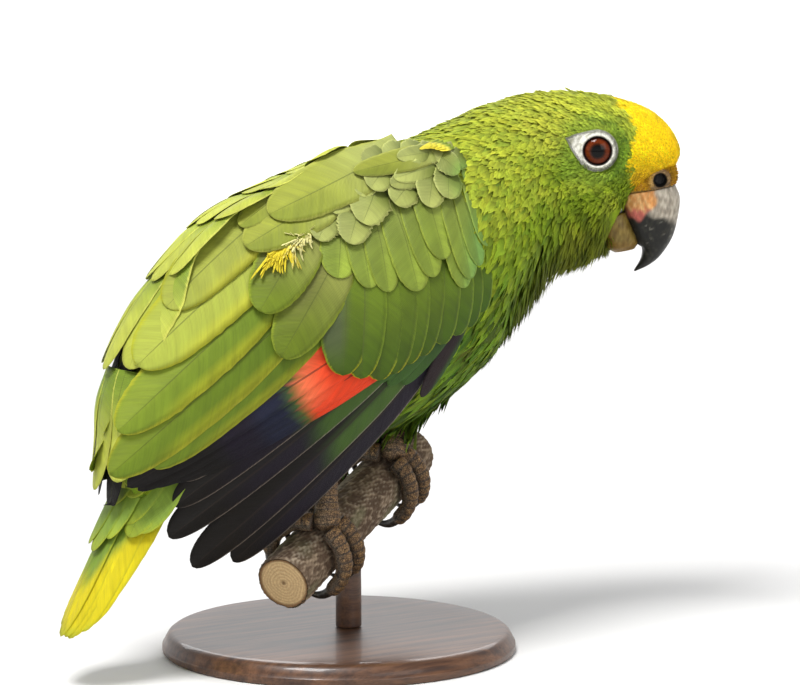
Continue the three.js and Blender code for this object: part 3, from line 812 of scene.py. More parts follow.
@dataclass(frozen=True)
class WingSurface:
    """The outer surface of a folded wing: a runs from the wrist to the tip, and b up across the wing."""

    side: Side
    settle: Point = (0.0, 0.0, 0.0)
    origin: Point = (43.6, 36.0, 161.9)
    dip: float = 36.5
    toe_in: float = 9.4
    lean: float = 9.9
    crown: float = 24.0
    crown_at: float = 75.0
    front_reach: float = 75.0
    rear_reach: float = 130.0
    crest_at: float = 20.0
    upper_roll: float = 10.2
    upper_roll_front: float = 9.4
    lower_roll: float = 13.0

    def axes(self) -> Array:
        """The directions of a, of b and outwards, for a left wing.

        Returns:
            Three unit vectors, one row each.
        """
        dip, toe, lean = (math.radians(v) for v in (self.dip, self.toe_in, self.lean))
        run = np.array([-math.cos(dip) * math.cos(toe), -math.cos(dip) * math.sin(toe), -math.sin(dip)])
        rise = np.array([-math.sin(dip) * math.cos(toe), -math.sin(dip) * math.sin(toe), math.cos(dip)])
        inward = np.array([math.sin(toe), -math.cos(toe), 0.0])
        across = rise * math.cos(lean) + inward * math.sin(lean)
        return np.array([run, across, np.cross(run, across)])

    def height(self, ab: Array) -> Array:
        """How far the surface bulges out at places on it.

        Args:
            ab: Places on the wing.

        Returns:
            Their heights over the wing's flat plane.
        """
        a, b = ab[..., 0], ab[..., 1]
        reach = np.where(a < self.crown_at, self.front_reach, self.rear_reach)
        upper = self.upper_roll_front + (self.upper_roll - self.upper_roll_front) * fade(55, 95, a)
        roll = np.where(b > self.crest_at, upper, self.lower_roll)
        return self.crown * (1 - ((a - self.crown_at) / reach) ** 2) - ((b - self.crest_at) / roll) ** 2

    def point(self, ab: Array, level: Array | float) -> Array:
        """Points of the model for places on the wing.

        Args:
            ab: Places on the wing.
            level: How far outside the surface each lies.

        Returns:
            The points.
        """
        height = (self.height(ab) + level)[..., None]
        axes = self.axes()
        at = ab[..., :1] * axes[0] + ab[..., 1:2] * axes[1] + height * axes[2]
        return (at + self.origin + self.settle) * [1, self.side.value, 1]

    def locate(self, points: Array) -> tuple[Array, Array]:
        """Places on the wing, and how far outside its surface, for points of the model.

        Args:
            points: Points of the model.

        Returns:
            The places and their levels.
        """
        local = (points * [1, self.side.value, 1] - self.origin - self.settle) @ self.axes().T
        return local[:, :2], local[:, 2] - self.height(local[:, :2])


WINGS = (WingSurface(Side.RIGHT), WingSurface(Side.LEFT, settle=(3.0, 2.5, -1.0)))


@dataclass
class Spine:
    """The body's middle line from the bill back to the tail, with what it says about any place round it."""

    line: Array = field(
        default_factory=lambda: np.vstack(
            [
                from_head([[46, 0, -2], [22, 0, 0], [0, 0, -3]]),
                [[82, -3, 178], [63, -0.5, 162], [26, 0, 143], [-4, 0, 133], [-36, 0, 122]],
                [[-64, 0, 108], [-96, 0, 75], [-120, 0, 30]],
            ]
        )
    )

    def __post_init__(self) -> None:
        """Works out lengths and directions along the line."""
        self.step = np.diff(self.line, axis=0)
        self.length = np.linalg.norm(self.step, axis=1)
        self.start = np.concatenate([[0], np.cumsum(self.length)])
        self.heading = unit(np.gradient(self.line, self.start, axis=0))

    def locate(self, points: Array) -> tuple[Array, Array, Array]:
        """Finds places along and round the body.

        Args:
            points: Points of the model.

        Returns:
            How far back each lies, the way to the tail there, and the point of the line beside it.
        """
        best = np.full(len(points), 1e9)
        arc, way, middle = np.zeros(len(points)), np.zeros((len(points), 3)), np.zeros((len(points), 3))
        for i, (start, step) in enumerate(zip(self.line[:-1], self.step)):
            t = np.clip((points - start) @ step / self.length[i] ** 2, 0, 1)
            foot = start + t[:, None] * step
            far = np.linalg.norm(points - foot, axis=1)
            near = far < best
            best[near] = far[near]
            arc[near] = (self.start[i] + t * self.length[i])[near]
            way[near] = blend(self.heading[i], self.heading[i + 1], t)[near]
            middle[near] = foot[near]
        return arc, unit(way), middle


SPINE = Spine()


# The knee and the hip of each thigh.
THIGHS = np.array([[[35, 15, 84], [14, 18, 101]], [[-16, -17, 80], [-24, -20, 98]]], float)


@dataclass
class BodyPlaces:
    """What the coat needs to know about a set of points of the body."""

    points: Array
    normals: Array

    def __post_init__(self) -> None:
        """Works out every place's arc, side and direction."""
        self.arc, self.way, middle = SPINE.locate(self.points)
        self.head = to_head(self.points)
        across = unit(np.cross(self.way, [0.0, 0.0, 1.0]))
        above = np.cross(across, self.way)
        out = unit(self.points - middle)
        self.top = (out * above).sum(1)
        self.turn = np.arctan2((out * across).sum(1), self.top)
        self.leg = self.leg_share()

    def leg_share(self) -> Array:
        """How much each place belongs to a thigh.

        Returns:
            Values from 0 to 1.
        """
        share = np.zeros(len(self.points))
        for knee, hip in THIGHS:
            t = np.clip((self.points - knee) @ (hip - knee) / ((hip - knee) @ (hip - knee)), -0.4, 1)
            far = np.linalg.norm(self.points - knee - t[:, None] * (hip - knee), axis=1)
            share = np.maximum(share, fade(18, 10, far) * fade(96, 88, self.points[:, 2]))
        return share

    def on_skin_map(self) -> Array:
        """Where each place is on an unwrap of the body: along it, and round it."""
        return np.stack(
            [0.02 + 0.96 * self.arc / SPINE.start[-1], 0.5 + self.turn / (2 * math.pi) * 0.96], 1,
        )

    def lie(self) -> Array:
        """The way that feathers point at each place.

        Returns:
            Unit vectors along the skin.
        """
        way = self.way.copy()
        bill = from_head([44.0, 0.0, -10.0])
        away = unit(self.points - bill)
        far = np.linalg.norm(self.points - bill, axis=1)
        way = blend(way, away, fade(46, 18, far) * 0.85)
        droop = fade(28, 60, self.arc) * fade(175, 110, self.arc) * (1 - fade(0.35, 0.9, self.top))
        throat = self.throat()
        way[:, 2] -= 0.28 * droop + 1.1 * throat
        way = blend(way, np.tile([-0.25, 0.0, -1.0], (len(way), 1)), self.leg)
        shift = np.array([[0.2, 0.0, 0.0], [0.0, 0.0, 0.2]])
        slope = [EYE.covers(self.head - step) - EYE.covers(self.head + step) for step in shift]
        leave = unit(np.stack([slope[0], np.zeros(len(way)), slope[1]], 1)) @ HEAD_AXES
        near = fade(-6.5, -2.5, EYE.covers(self.head))
        inward = np.clip(0.55 - (way * leave).sum(1), 0, 1.55)
        way = way + (near * inward)[:, None] * leave
        along = way - (way * self.normals).sum(1)[:, None] * self.normals
        return unit(along)

    def throat(self) -> Array:
        """How much each place belongs to the loose beard under the throat."""
        return fade(-0.45, -0.85, self.top) * fade(20, 32, self.arc) * fade(98, 78, self.arc)

    def clump(self) -> Array:
        """How high each place stands in the soft clumps of the coat."""
        return ripple(self.points, 6.0, 12)

    def loose(self) -> Array:
        """How much each place belongs to the belly feathers that hang before the left foot."""
        off = (self.points - [58.0, 7.0, 100.0]) / [13.0, 12.0, 11.0]
        return np.exp(-(off**2).sum(1)) * fade(0.4, -0.2, self.top)

    def face(self) -> Array:
        """How much each place belongs to the yellow forehead.

        Returns:
            Values from 0 to 1.
        """
        x, z = self.head[:, 0], self.head[:, 2]
        ragged = 1.3 * ripple(self.head, 5.0, 4)
        line = 30.5 + 2.2 * fade(6, 13, z) - 7.5 * fade(13, 24, z) + 2.5 * fade(-4, -13, z)
        return fade(-1.2, 1.2, x - line + ragged)


LIME = tone(176, 183, 58)
LEAF = tone(126, 150, 27)
MOSS = tone(84, 112, 18)
DEEP = tone(52, 74, 10)
OLIVE = tone(86, 88, 10)
SKY_GREEN = tone(116, 148, 46)
YELLOW = tone(255, 222, 20)
AMBER = tone(206, 136, 24)


def coat_colours(place: BodyPlaces) -> tuple[Array, Array]:
    """The markings of skin and coat, with painted light on the upper side and painted shade on the
    underside and at the feathers' bases.

    Args:
        place: Where on the body.

    Returns:
        The colour of the tips and the colour of the bases.
    """
    arc, height = place.arc, place.head[:, 2]
    side_lit = np.clip(place.top, -1, 1)
    count = len(arc)
    tips = np.tile(LEAF, (count, 1))
    # Painted light: the tips turn lime where the nape and back face up.
    painted_top_light = fade(-0.2, 0.75, side_lit) * fade(30, 45, arc) * fade(150, 110, arc)
    crown = fade(2, 18, height) * fade(66, 44, arc)
    tips = blend(tips, LIME, np.clip(0.58 * painted_top_light + 0.85 * crown, 0, 1))
    patches = fade(-0.2, 0.9, ripple(place.points, 15.0, 8))
    tips = blend(tips, LIME, 0.4 * patches * fade(95, 70, arc))
    # Painted shade: the tips turn dark moss on the underside of the neck and breast.
    under = fade(-0.15, -0.75, side_lit)
    tips = blend(tips, MOSS, under * fade(40, 80, arc) * 0.8)
    # Lighter and yellower on the upper side of the rump and tail coverts: partly their own colour, partly
    # painted light.
    tips = blend(tips, tone(160, 178, 62), fade(0.2, 0.8, side_lit) * fade(150, 175, arc) * 0.8)
    tips = blend(tips, tone(196, 196, 60), fade(0.3, 0.9, side_lit) * fade(205, 235, arc) * 0.6)
    dx, dz = place.head[:, 0] - EYE.x, height - EYE.z
    eye = np.hypot(dx, dz)
    lore = fade(17, 10, eye) * fade(9, 14, np.abs(place.head[:, 1]))
    tips = blend(tips, SKY_GREEN, lore * 0.6)
    tips = blend(tips, tone(86, 122, 30), lore * fade(2, 9, dx) * 0.6)
    tips = blend(tips, OLIVE, place.throat() * 0.75)
    tips = blend(tips, tone(96, 136, 40), place.leg * 0.8)
    # The bases are darker: partly the feathers' own colour, partly painted shade where they show between
    # the tips.
    base = blend(DEEP, tips * 0.5, 0.6 * np.ones(count))
    base = blend(base, tips * 0.66, 0.5 * fade(112, 66, arc) * (1 - place.throat()))
    base = blend(base, tips * 0.8, 0.75 * fade(62, 40, arc))
    face = place.face()
    tips = blend(tips, YELLOW, face)
    base = blend(base, tone(246, 196, 12), face)
    low = face * fade(0.5, -6.5, height)
    tips = blend(tips, AMBER, low * 0.4)
    base = blend(base, tone(150, 96, 24), low * 0.9)
    return tips, base


# ------------------------------------------------------------------ skin


@dataclass
class Skin:
    """One skin for head, neck, trunk and thighs, inside the solids by the depth of the coat."""

    voxel: float = 1.5
    swell: float = 0.45
    smoothing: int = 10
    face_depth: float = 0.9
    body_depth: float = 2.0
    breast_depth: float = 3.2
    flesh: tuple[str, ...] = ("head", "neck", "torso", "thigh_left", "thigh_right")
    pad_front: tuple = ((26, -15), (9, -5), (2, 4), (-4, 18), (-3, 33), (7, 44), (22, 53), (40, 58))
    pad_rear: tuple = ((44, -16), (56, -10), (66, 0), (76, 14), (82, 28), (84, 40), (80, 50), (72, 57))
    pad_levels: tuple[float, float] = (-3.2, -13.0)
    orbit: tuple[float, float] = (17.5, 3.5)
    orbit_out: float = 20.5
    orbit_slope: tuple[float, float] = (-0.067, -0.172)

    def pad(self, wing: WingSurface) -> tuple[Array, Array]:
        """The flesh of one folded wing, as points and triangles.

        Args:
            wing: The wing's surface.

        Returns:
            The points and the triangles.
        """
        rows, columns = 14, 16
        u = np.linspace(0, 1, columns)
        front, rear = curve(self.pad_front, u), curve(self.pad_rear, u)
        ab = front[None] + (rear - front)[None] * np.linspace(0, 1, rows)[:, None, None]
        faces = [wing.point(ab, level).reshape(-1, 3) for level in self.pad_levels]
        points = np.vstack(faces)
        quads = sheet_quads(rows, columns)
        if wing.side is Side.LEFT:
            quads = quads[:, ::-1]
        return points, np.vstack([quads[:, [0, 1, 2]], quads[:, [0, 2, 3]]])

    def build(self, finish: Material) -> Object:
        """Makes the skin.

        Args:
            finish: Its material.

        Returns:
            The skin, in place of the flesh solids.
        """
        parts = [self.grown(*node_arrays(name)) for name in self.flesh]
        parts += [self.pad(wing) for wing in WINGS] + [self.socket(side) for side in Side]
        starts = np.cumsum([0] + [len(points) for points, _ in parts])
        points = np.vstack([points for points, _ in parts])
        triangles = np.vstack([tri + start for (_, tri), start in zip(parts, starts)])
        rough = make_piece("rough_flesh", points, [triangles])
        remesh = rough.modifiers.new("remesh", "REMESH")
        remesh.mode = "VOXEL"
        remesh.voxel_size = self.voxel * MM
        smooth = rough.modifiers.new("smooth", "SMOOTH")
        smooth.iterations = self.smoothing
        settled = rough.evaluated_get(bpy.context.evaluated_depsgraph_get()).to_mesh()
        self.read(settled)
        bpy.data.objects.remove(rough, do_unlink=True)
        place = BodyPlaces(self.points, self.normals)
        depth = self.face_depth + (self.body_depth - self.face_depth) * fade(35, 75, place.arc)
        depth = (
            depth
            + self.breast_depth * fade(-0.3, -0.8, place.top) * fade(66, 80, place.arc) * fade(
                112, 96, place.arc
            )
        )
        self.points = self.points - self.normals * depth[:, None]
        tips, base = coat_colours(place)
        tints = {"web": blend(base, tips, 0.35 * np.ones(len(base))), "edge": tips}
        bake = place.on_skin_map()
        vane = np.stack([place.arc / 100, 0.5 + 0.2 * np.sin(place.turn)], 1)
        piece = make_piece("skin", self.points, self.polygons, {"Vane": vane, "OFBake": bake}, tints)
        self.tree = search_tree(self.points, self.polygons)
        return dress(piece, finish, "green_feather", *self.flesh)

    def socket(self, side: Side) -> tuple[Array, Array]:
        """The flesh that fills an orbit round the eyeball, as points and triangles.

        Args:
            side: The side of the head.

        Returns:
            The points and the triangles.
        """
        turn = circle(32)
        radii = np.array([0.01, 5.8, 6.6, 9.6, 9.6])[:, None]
        below = np.array([3.5, 3.0, 0.3, 0.0, 9.0])[:, None]
        dx, dz = radii * np.cos(turn), radii * np.sin(turn)
        y = self.orbit_out + self.orbit_slope[0] * dx + self.orbit_slope[1] * dz - below
        points = np.stack([self.orbit[0] + dx, y * side.value, self.orbit[1] + dz], -1).reshape(-1, 3)
        return from_head(points), fans(tube_polygons(5, 32))

    def grown(self, points: Array, triangles: Array) -> tuple[Array, Array]:
        """A solid swollen a little, so that it runs into its neighbours.

        Args:
            points: Its points.
            triangles: Its triangles.

        Returns:
            The moved points and the same triangles.
        """
        facing = np.cross(
            points[triangles[:, 1]] - points[triangles[:, 0]],
            points[triangles[:, 2]] - points[triangles[:, 0]],
        )
        out = np.zeros_like(points)
        for corner in range(3):
            np.add.at(out, triangles[:, corner], facing)
        return points + unit(out) * self.swell, triangles

    def read(self, mesh: Mesh) -> None:
        """Keeps a mesh's points, normals and polygons as arrays.

        Args:
            mesh: The mesh, which is gone afterwards.
        """
        count = len(mesh.vertices)
        buffer = np.empty(count * 3, np.float32)
        mesh.vertices.foreach_get("co", buffer)
        self.points = buffer.reshape(-1, 3).astype(float) / MM
        mesh.vertex_normals.foreach_get("vector", buffer)
        self.normals = buffer.reshape(-1, 3).astype(float)
        quads = [list(p.vertices) for p in mesh.polygons]
        self.polygons = [
            np.array([q for q in quads if len(q) == size]) for size in sorted({len(q) for q in quads})
        ]

    def drop(self, points: Array) -> tuple[Array, Array]:
        """The nearest places on the skin, and its normals there."""
        hits = [self.tree.find_nearest(Vector(p)) for p in points.tolist()]
        return np.array([hit[0] for hit in hits]), np.array([hit[1] for hit in hits])


# ------------------------------------------------------------------ small feathers


@dataclass
class Region:
    """One stretch of the coat: where it lies, and the size of its feathers by how far back they are."""

    name: str
    arc: tuple[float, float]
    spacing: tuple[tuple[float, float], ...]
    length: tuple[tuple[float, float], ...]
    slim: float
    lift: float
    ragged: float
    stray: float


@dataclass
class Coat:
    """The small feathers over the skin, each a thin closed blade with a ragged end."""

    skin: Skin
    seed: int = 7
    rows: tuple[float, ...] = (0.0, 0.3, 0.6, 0.85, 1.0)
    widths: tuple[float, ...] = (0.45, 0.9, 1.0, 0.82, 0.42)
    columns: int = 5
    patch: float = 0.003
    crisp: float = 0.22
    loose_drop: float = 20.0
    # How dark a blade is at its root: partly the feather's own darker base, partly painted shade between
    # the feathers.
    root_tone_and_shade: float = 0.72
    edge_light: float = 1.26
    tip_spread: tuple[float, float] = (0.02, 0.16)
    warmth: float = 0.06
    regions: tuple[Region, ...] = (
        Region(
            "forehead", (0, 19), ((0, 0.66), (19, 0.82)), ((0, 1.7), (14, 2.6), (19, 3.0)), 0.2, 0.75, 0.3,
            12.0,
        ),
        Region(
            "cheeks", (19, 33), ((19, 0.74), (33, 0.88)), ((19, 3.0), (33, 4.2)), 0.18, 0.85, 0.32, 13.0
        ),
        Region("crown", (33, 50), ((33, 0.88), (50, 1.15)), ((33, 4.2), (50, 5.8)), 0.18, 1.3, 0.3, 11.0),
        Region("nape", (50, 84), ((50, 1.15), (84, 1.6)), ((50, 5.8), (84, 10.5)), 0.19, 1.15, 0.24, 10.0),
        Region(
            "shoulders", (84, 126), ((84, 1.65), (126, 2.1)), ((84, 10.5), (126, 14.0)), 0.21, 1.4, 0.24,
            8.0,
        ),
        Region(
            "trunk", (126, 330), ((126, 2.5), (250, 2.9), (330, 3.0)),
            ((126, 14), (220, 16), (262, 14), (330, 10)), 0.22, 1.7, 0.2, 8.0,
        ),
    )

    def build(self, finish: Material) -> list[Object]:
        """Makes one piece of coat for each region.

        Args:
            finish: The feathers' finish.

        Returns:
            The pieces.
        """
        draw = np.random.default_rng(self.seed)
        return [self.region(region, finish, draw) for region in self.regions]

    def roots(self, region: Region, draw: np.random.Generator) -> tuple[Array, Array]:
        """Scatters the roots of a region evenly over the skin.

        Args:
            region: The stretch of coat.
            draw: The seeded generator.

        Returns:
            The roots and the skin's normals there.
        """
        triangles = fans(self.skin.polygons)
        corners = self.skin.points[triangles]
        middle = BodyPlaces(corners.mean(1), self.skin.normals[triangles[:, 0]])
        inside = (middle.arc >= region.arc[0]) & (middle.arc < region.arc[1])
        triangles, corners = triangles[inside], corners[inside]
        area = (
            0.5
            * np.linalg.norm(np.cross(corners[:, 1] - corners[:, 0], corners[:, 2] - corners[:, 0]), axis=1)
        )
        gap = np.interp(middle.arc[inside], *zip(*region.spacing))
        weight = area / gap**2
        tries = int(weight.sum() * 3.2)
        pick = draw.choice(len(triangles), size=tries, p=weight / weight.sum())
        r1, r2 = np.sqrt(draw.random(tries)), draw.random(tries)
        shares = np.stack([1 - r1, r1 * (1 - r2), r1 * r2], 1)
        points = (corners[pick] * shares[..., None]).sum(1)
        normals = unit((self.skin.normals[triangles[pick]] * shares[..., None]).sum(1))
        keep = self.thinned(points, gap[pick] * 0.82) & self.shown(points)
        return points[keep], normals[keep]

    def thinned(self, points: Array, gap: Array) -> Array:
        """Which points stay, so that none is nearer to another than its gap.

        Args:
            points: The places.
            gap: The least distance of each to its neighbours.

        Returns:
            Whether each stays.
        """
        cell = float(gap.max())
        keys = np.floor(points / cell).astype(int)
        cells: dict[tuple[int, int, int], list[int]] = {}
        keep = np.zeros(len(points), bool)
        around = [(i, j, k) for i in (-1, 0, 1) for j in (-1, 0, 1) for k in (-1, 0, 1)]
        rows, limits = points.tolist(), (gap**2).tolist()
        for n, key in enumerate(map(tuple, keys.tolist())):
            x, y, z = rows[n]
            limit = limits[n]
            near = (m for i, j, k in around for m in cells.get((key[0] + i, key[1] + j, key[2] + k), ()))
            if all(
                (rows[m][0] - x) ** 2 + (rows[m][1] - y) ** 2 + (rows[m][2] - z) ** 2 > limit for m in near
            ):
                keep[n] = True
                cells.setdefault(key, []).append(n)
        return keep

    def shown(self, points: Array) -> Array:
        """Which points aren't under a wing, in an eye's ring or under the bill.

        Args:
            points: The places.

        Returns:
            Whether each shows.
        """
        head = to_head(points)
        keep = EYE.covers(head) < -0.35
        keep &= ~((head[:, 0] > 21) & (head[:, 2] < -17.5) & (head[:, 2] > -34))
        keep &= ~((head[:, 0] > 35) & (head[:, 2] < -7.0))
        for wing in WINGS:
            ab, out = wing.locate(points)
            a, b = ab[:, 0], ab[:, 1]
            folded = 8.0 * fade(95, 130, a) * (wing.side is Side.LEFT)
            rear = 165 if wing.side is Side.LEFT else 122
            under = (
                (a > 2) & (a < rear) & (b > -6) & (b < 57 + 0.05 * a) & (out < folded - 0.5) & (out > -30)
            )
            keep &= ~under
        return keep

    def region(self, region: Region, finish: Material, draw: np.random.Generator) -> Object:
        """Makes the feathers of one region.

        Args:
            region: The stretch of coat.
            finish: Its material.
            draw: The seeded generator.

        Returns:
            The piece.
        """
        roots, normals = self.roots(region, draw)
        place = BodyPlaces(roots, normals)
        count = len(roots)
        length = np.interp(place.arc, *zip(*region.length)) * draw.uniform(0.85, 1.15, count)
        throat, fluff = place.throat(), self.fluff(place)
        breast = fade(0.35, -0.2, place.top) * fade(78, 104, place.arc) * fade(200, 160, place.arc)
        length *= 1 + 0.35 * throat + 0.45 * breast + 0.1 * place.leg + 0.8 * place.loose()
        half = (
            length * region.slim * draw.uniform(0.8, 1.15, count) * (1 - 0.5 * throat) * (1 - 0.45 * breast)
        )
        ringed = fade(-6.0, -1.0, EYE.covers(place.head))
        length, half = length * (1 - 0.35 * ringed), half * (1 - 0.45 * ringed)
        stray = np.radians(region.stray) * (1 + 0.8 * fluff) * draw.normal(size=count)
        way = place.lie()
        way = way * np.cos(stray)[:, None] + np.cross(normals, way) * np.sin(stray)[:, None]
        lift = (
            region.lift * draw.uniform(0.6, 1.3, count) * (1 + 0.7 * throat + 0.5 * fluff)
            * (1 - 0.45 * place.face())
        )
        middle, mid_normals = self.skin.drop(roots + way * length[:, None] * 0.5)
        ends, end_normals = self.skin.drop(roots + way * length[:, None])
        hang = throat[:, None] * length[:, None] * 0.75
        ends = ends + hang * unit(end_normals + [-0.5, 0.0, -1.2]) * 0.5
        loose = place.loose() * draw.uniform(0.45, 1.0, count) * self.loose_drop
        ends = ends + loose[:, None] * unit(np.array([0.25, -0.1, -1.0]))
        s = np.array(self.rows)[None, :, None]
        path = arch(roots, middle, ends, s)
        facing = unit(arch(normals, mid_normals, end_normals, s))
        swell = 0.4 * place.clump() * fade(90, 60, place.arc) * (1 - place.face()) * (1 - ringed)
        rise = -0.35 + (lift[:, None, None] + swell[:, None, None] + 0.35) * s**0.8
        path = path + facing * rise
        heading = unit(np.gradient(path, axis=1))
        across = unit(np.cross(heading, facing))
        v = np.linspace(-1, 1, self.columns)[None, None, :, None]
        wide = (half[:, None] * np.array(self.widths)[None])[:, :, None, None]
        rounding = -0.16 * length[:, None, None, None] * s[..., None] * v**2
        jag = (
            draw.uniform(-1, 0.6, (count, 1, self.columns, 1)) * region.ragged * length[:, None, None, None]
        )
        jag = jag * np.array([0, 0, 0.1, 0.4, 1.0])[None, :, None, None]
        camber = (0.16 * wide + 0.06) * (1 - v**2)
        points = path[:, :, None] + across[:, :, None] * wide * v + heading[:, :, None] * (rounding + jag)
        points = points + facing[:, :, None] * camber
        own = unit(np.cross(across, heading))[:, :, None] * np.ones((1, 1, self.columns, 1))
        own = unit(own + 0.35 * v * across[:, :, None])
        soft = unit(own * self.crisp + facing[:, :, None] * (1 - self.crisp))
        return self.piece(region, place, points, soft, length, draw, finish)

    def fluff(self, place: BodyPlaces) -> Array:
        """How fluffy the cheeks are at each place.

        Args:
            place: The places.

        Returns:
            Values from 0 to 1.
        """
        x, z = place.head[:, 0], place.head[:, 2]
        return fade(30, 20, x) * fade(-14, 0, x) * fade(-6, -12, z) * fade(-38, -28, z)

    def piece(
        self, region: Region, place: BodyPlaces, points: Array, soft: Array, length: Array,
        draw: np.random.Generator, finish: Material,
    ) -> Object:
        """Joins a region's blades into one mesh with its maps and colours.

        Args:
            region: The stretch of coat.
            place: What the roots know of their places.
            points: Points by feather, row and column.
            soft: The normals to shade with there.
            length: Each feather's length.
            draw: The seeded generator.
            finish: The material.

        Returns:
            The piece.
        """
        count, rows, columns = points.shape[:3]
        s = np.array(self.rows)[None, :, None] * np.ones((count, 1, columns))
        v = np.linspace(-1, 1, columns)[None, None, :] * np.ones((count, rows, 1))
        tips, base = coat_colours(place)
        low = fade(0.2, -0.4, place.top) * fade(84, 100, place.arc)
        calm = (0.45 + 0.55 * fade(40, 90, place.arc) + 1.6 * low)[:, None]
        patch = place.clump()[:, None]
        tuft = fade(46, 30, place.arc)[:, None] * (1 - place.face())[:, None]
        # A random tone for each feather, plus painted light and shade: blades on raised clumps are lighter
        # and a little warmer, blades in the hollows darker.
        bright = (
            1 + calm * draw.normal(*self.tip_spread, (count, 1)) + (0.16 + 0.2 * tuft) * patch
        ).clip(0.5, 1.6)
        warm = (calm * draw.normal(0.0, self.warmth, (count, 1)) + 0.05 * patch) * [1.0, 0.1, -0.6]
        tips = (tips * (bright + warm)).clip(0.001, 1)
        # Each blade darkens towards its root: partly its own colour, partly painted shade between the
        # feathers.
        share = fade(0.25, 0.95, s + 0.12 * np.abs(v))
        web = blend(self.root_tone_and_shade * base[:, None, None], tips[:, None, None], share)
        edge = web * self.edge_light
        spot = place.on_skin_map()[:, None, None] + self.patch * np.stack([s - 0.5, v * 0.5], -1)
        barb = 2.2 * np.abs(v) * region.slim * length[:, None, None] - 1.03 * s * length[:, None, None]
        vane = np.stack([barb / 100 + np.arange(count)[:, None, None] * 0.37, v * 0.5 + 0.5], -1)
        size = rows * columns
        first = (np.arange(count) * size)[:, None, None]
        top = grid_quads(rows, columns)[None] + first
        left = np.arange(rows - 1) * columns
        strip = (
            np.stack([left, left + columns, left + 2 * columns - 1, left + columns - 1], 1)[None] + first
        )
        ends = np.stack([np.arange(columns)[::-1], np.arange(columns) + (rows - 1) * columns])[None] + first
        quads = np.concatenate([top.reshape(-1, 4), strip.reshape(-1, 4)])
        seen = soft.reshape(-1, 3)[top.ravel()]
        facing = np.zeros((quads.size + ends.size, 3))
        facing[: len(seen)] = seen
        return dress(
            make_piece(
                f"coat_{region.name}", points, [quads, ends.reshape(-1, columns)],
                {"Vane": vane, "OFBake": spot}, {"web": web, "edge": edge}, facing,
            ),
            finish, "green_feather",
        )


# ------------------------------------------------------------------ large feathers


@dataclass(frozen=True)
class VaneField:
    """Every point of a tier's feathers, as its painter sees it."""

    run: Array
    across: Array
    ab: Array
    order: Array

    @property
    def outer(self) -> Array:
        """1 on the web that faces the wing's lower edge, and 0 on the other."""
        return fade(0.05, -0.05, self.across)


Painter = Callable[[VaneField], tuple[Array, Array]]


@dataclass(frozen=True)
class Tier:
    """A row of large feathers, spread evenly from one end of its root and tip lines to the other."""

    name: str
    roots: tuple
    tips: tuple
    count: int
    half: tuple[float, ...]
    levels: tuple[float, float]
    painter: Painter
    step: float = 0.0
    tilt: float = 0.55
    lift: float = 0.5
    bend: float = 0.0
    narrow: float = 0.6
    fullest: float = 0.5
    round_end: float = 4.0
    inner_share: float = 1.0
    outer_share: float = 1.0
    ragged: float = 0.012
    rows: int = 20
    columns: int = 9
    stray: float = 0.0


PALE_LEAF = tone(154, 160, 86)
GREY_LEAF = tone(124, 130, 76)
RIM_YELLOW = tone(158, 160, 38)


def paint_lesser(at: VaneField) -> tuple[Array, Array]:
    """Pale grey-green coverts with light rims, greener towards the front.

    Args:
        at: The points of the row's feathers.

    Returns:
        The colours of webs and of edges.
    """
    front = fade(8, -8, at.ab[..., 0]) * fade(32, 24, at.ab[..., 1])
    tip = blend(PALE_LEAF, tone(122, 150, 68), front)
    web = blend(tone(86, 98, 32), tip, fade(0.1, 0.85, at.run))
    # The inner web is greyer and darker: partly its own colour, partly painted shade beside the overlapping
    # neighbour.
    web = blend(web, GREY_LEAF, 0.5 * (1 - at.outer) * (1 - front))
    edge = blend(tone(168, 172, 98), tone(146, 170, 84), front)
    return web, edge


def paint_median(at: VaneField) -> tuple[Array, Array]:
    """Olive-green coverts with fine yellow-green rims, bluish at the front.

    Args:
        at: The points of the row's feathers.

    Returns:
        The colours of webs and of edges.
    """
    front = fade(22, 4, at.ab[..., 0] + at.ab[..., 1])
    tip = blend(tone(142, 160, 58), tone(116, 154, 74), front)
    web = blend(tone(126, 136, 64), tip, fade(0.15, 0.8, at.run))
    # The inner web is darker: partly its own colour, partly painted shade beside the overlapping neighbour.
    web = blend(web, tone(88, 104, 34), 0.55 * (1 - at.outer))
    edge = blend(tone(142, 156, 54), tone(140, 168, 72), front)
    return web, edge


def paint_greater(at: VaneField) -> tuple[Array, Array]:
    """Darker green coverts with yellow rims; the rearmost has a grey inner web.

    Args:
        at: The points of the row's feathers.

    Returns:
        The colours of webs and of edges.
    """
    rear = fade(0.16, 0.02, at.order)
    web = blend(tone(92, 112, 24), tone(64, 88, 12), fade(0.35, 1.0, at.run))
    web = blend(web, tone(44, 74, 12), 0.55 * fade(0.45, 1.0, at.order))
    # The inner web is darker: partly its own colour, partly painted shade beside the overlapping neighbour.
    web = blend(web, tone(58, 74, 14), 0.6 * (1 - at.outer) * (1 - rear))
    web = blend(web, tone(76, 84, 58), 0.8 * rear * (1 - at.outer) * fade(1.0, 0.7, at.run))
    edge = blend(tone(112, 134, 32), tone(164, 158, 16), fade(0.8, 1.0, at.run) * fade(0.75, 0.4, at.order))
    return web, edge


def paint_tertial_covert(at: VaneField) -> tuple[Array, Array]:
    """Olive coverts over the inner wing, yellower at the outer rim.

    Args:
        at: The points of the row's feathers.

    Returns:
        The colours of webs and of edges.
    """
    web = blend(tone(126, 130, 62), tone(94, 110, 22), fade(0.2, 0.9, at.run))
    # The inner web is darker towards the root: partly its own colour, partly painted shade beside the
    # overlapping neighbour.
    web = blend(web, tone(84, 84, 40), 0.6 * (1 - at.outer) * fade(0.95, 0.5, at.run))
    return web, np.broadcast_to(tone(128, 142, 38), web.shape)


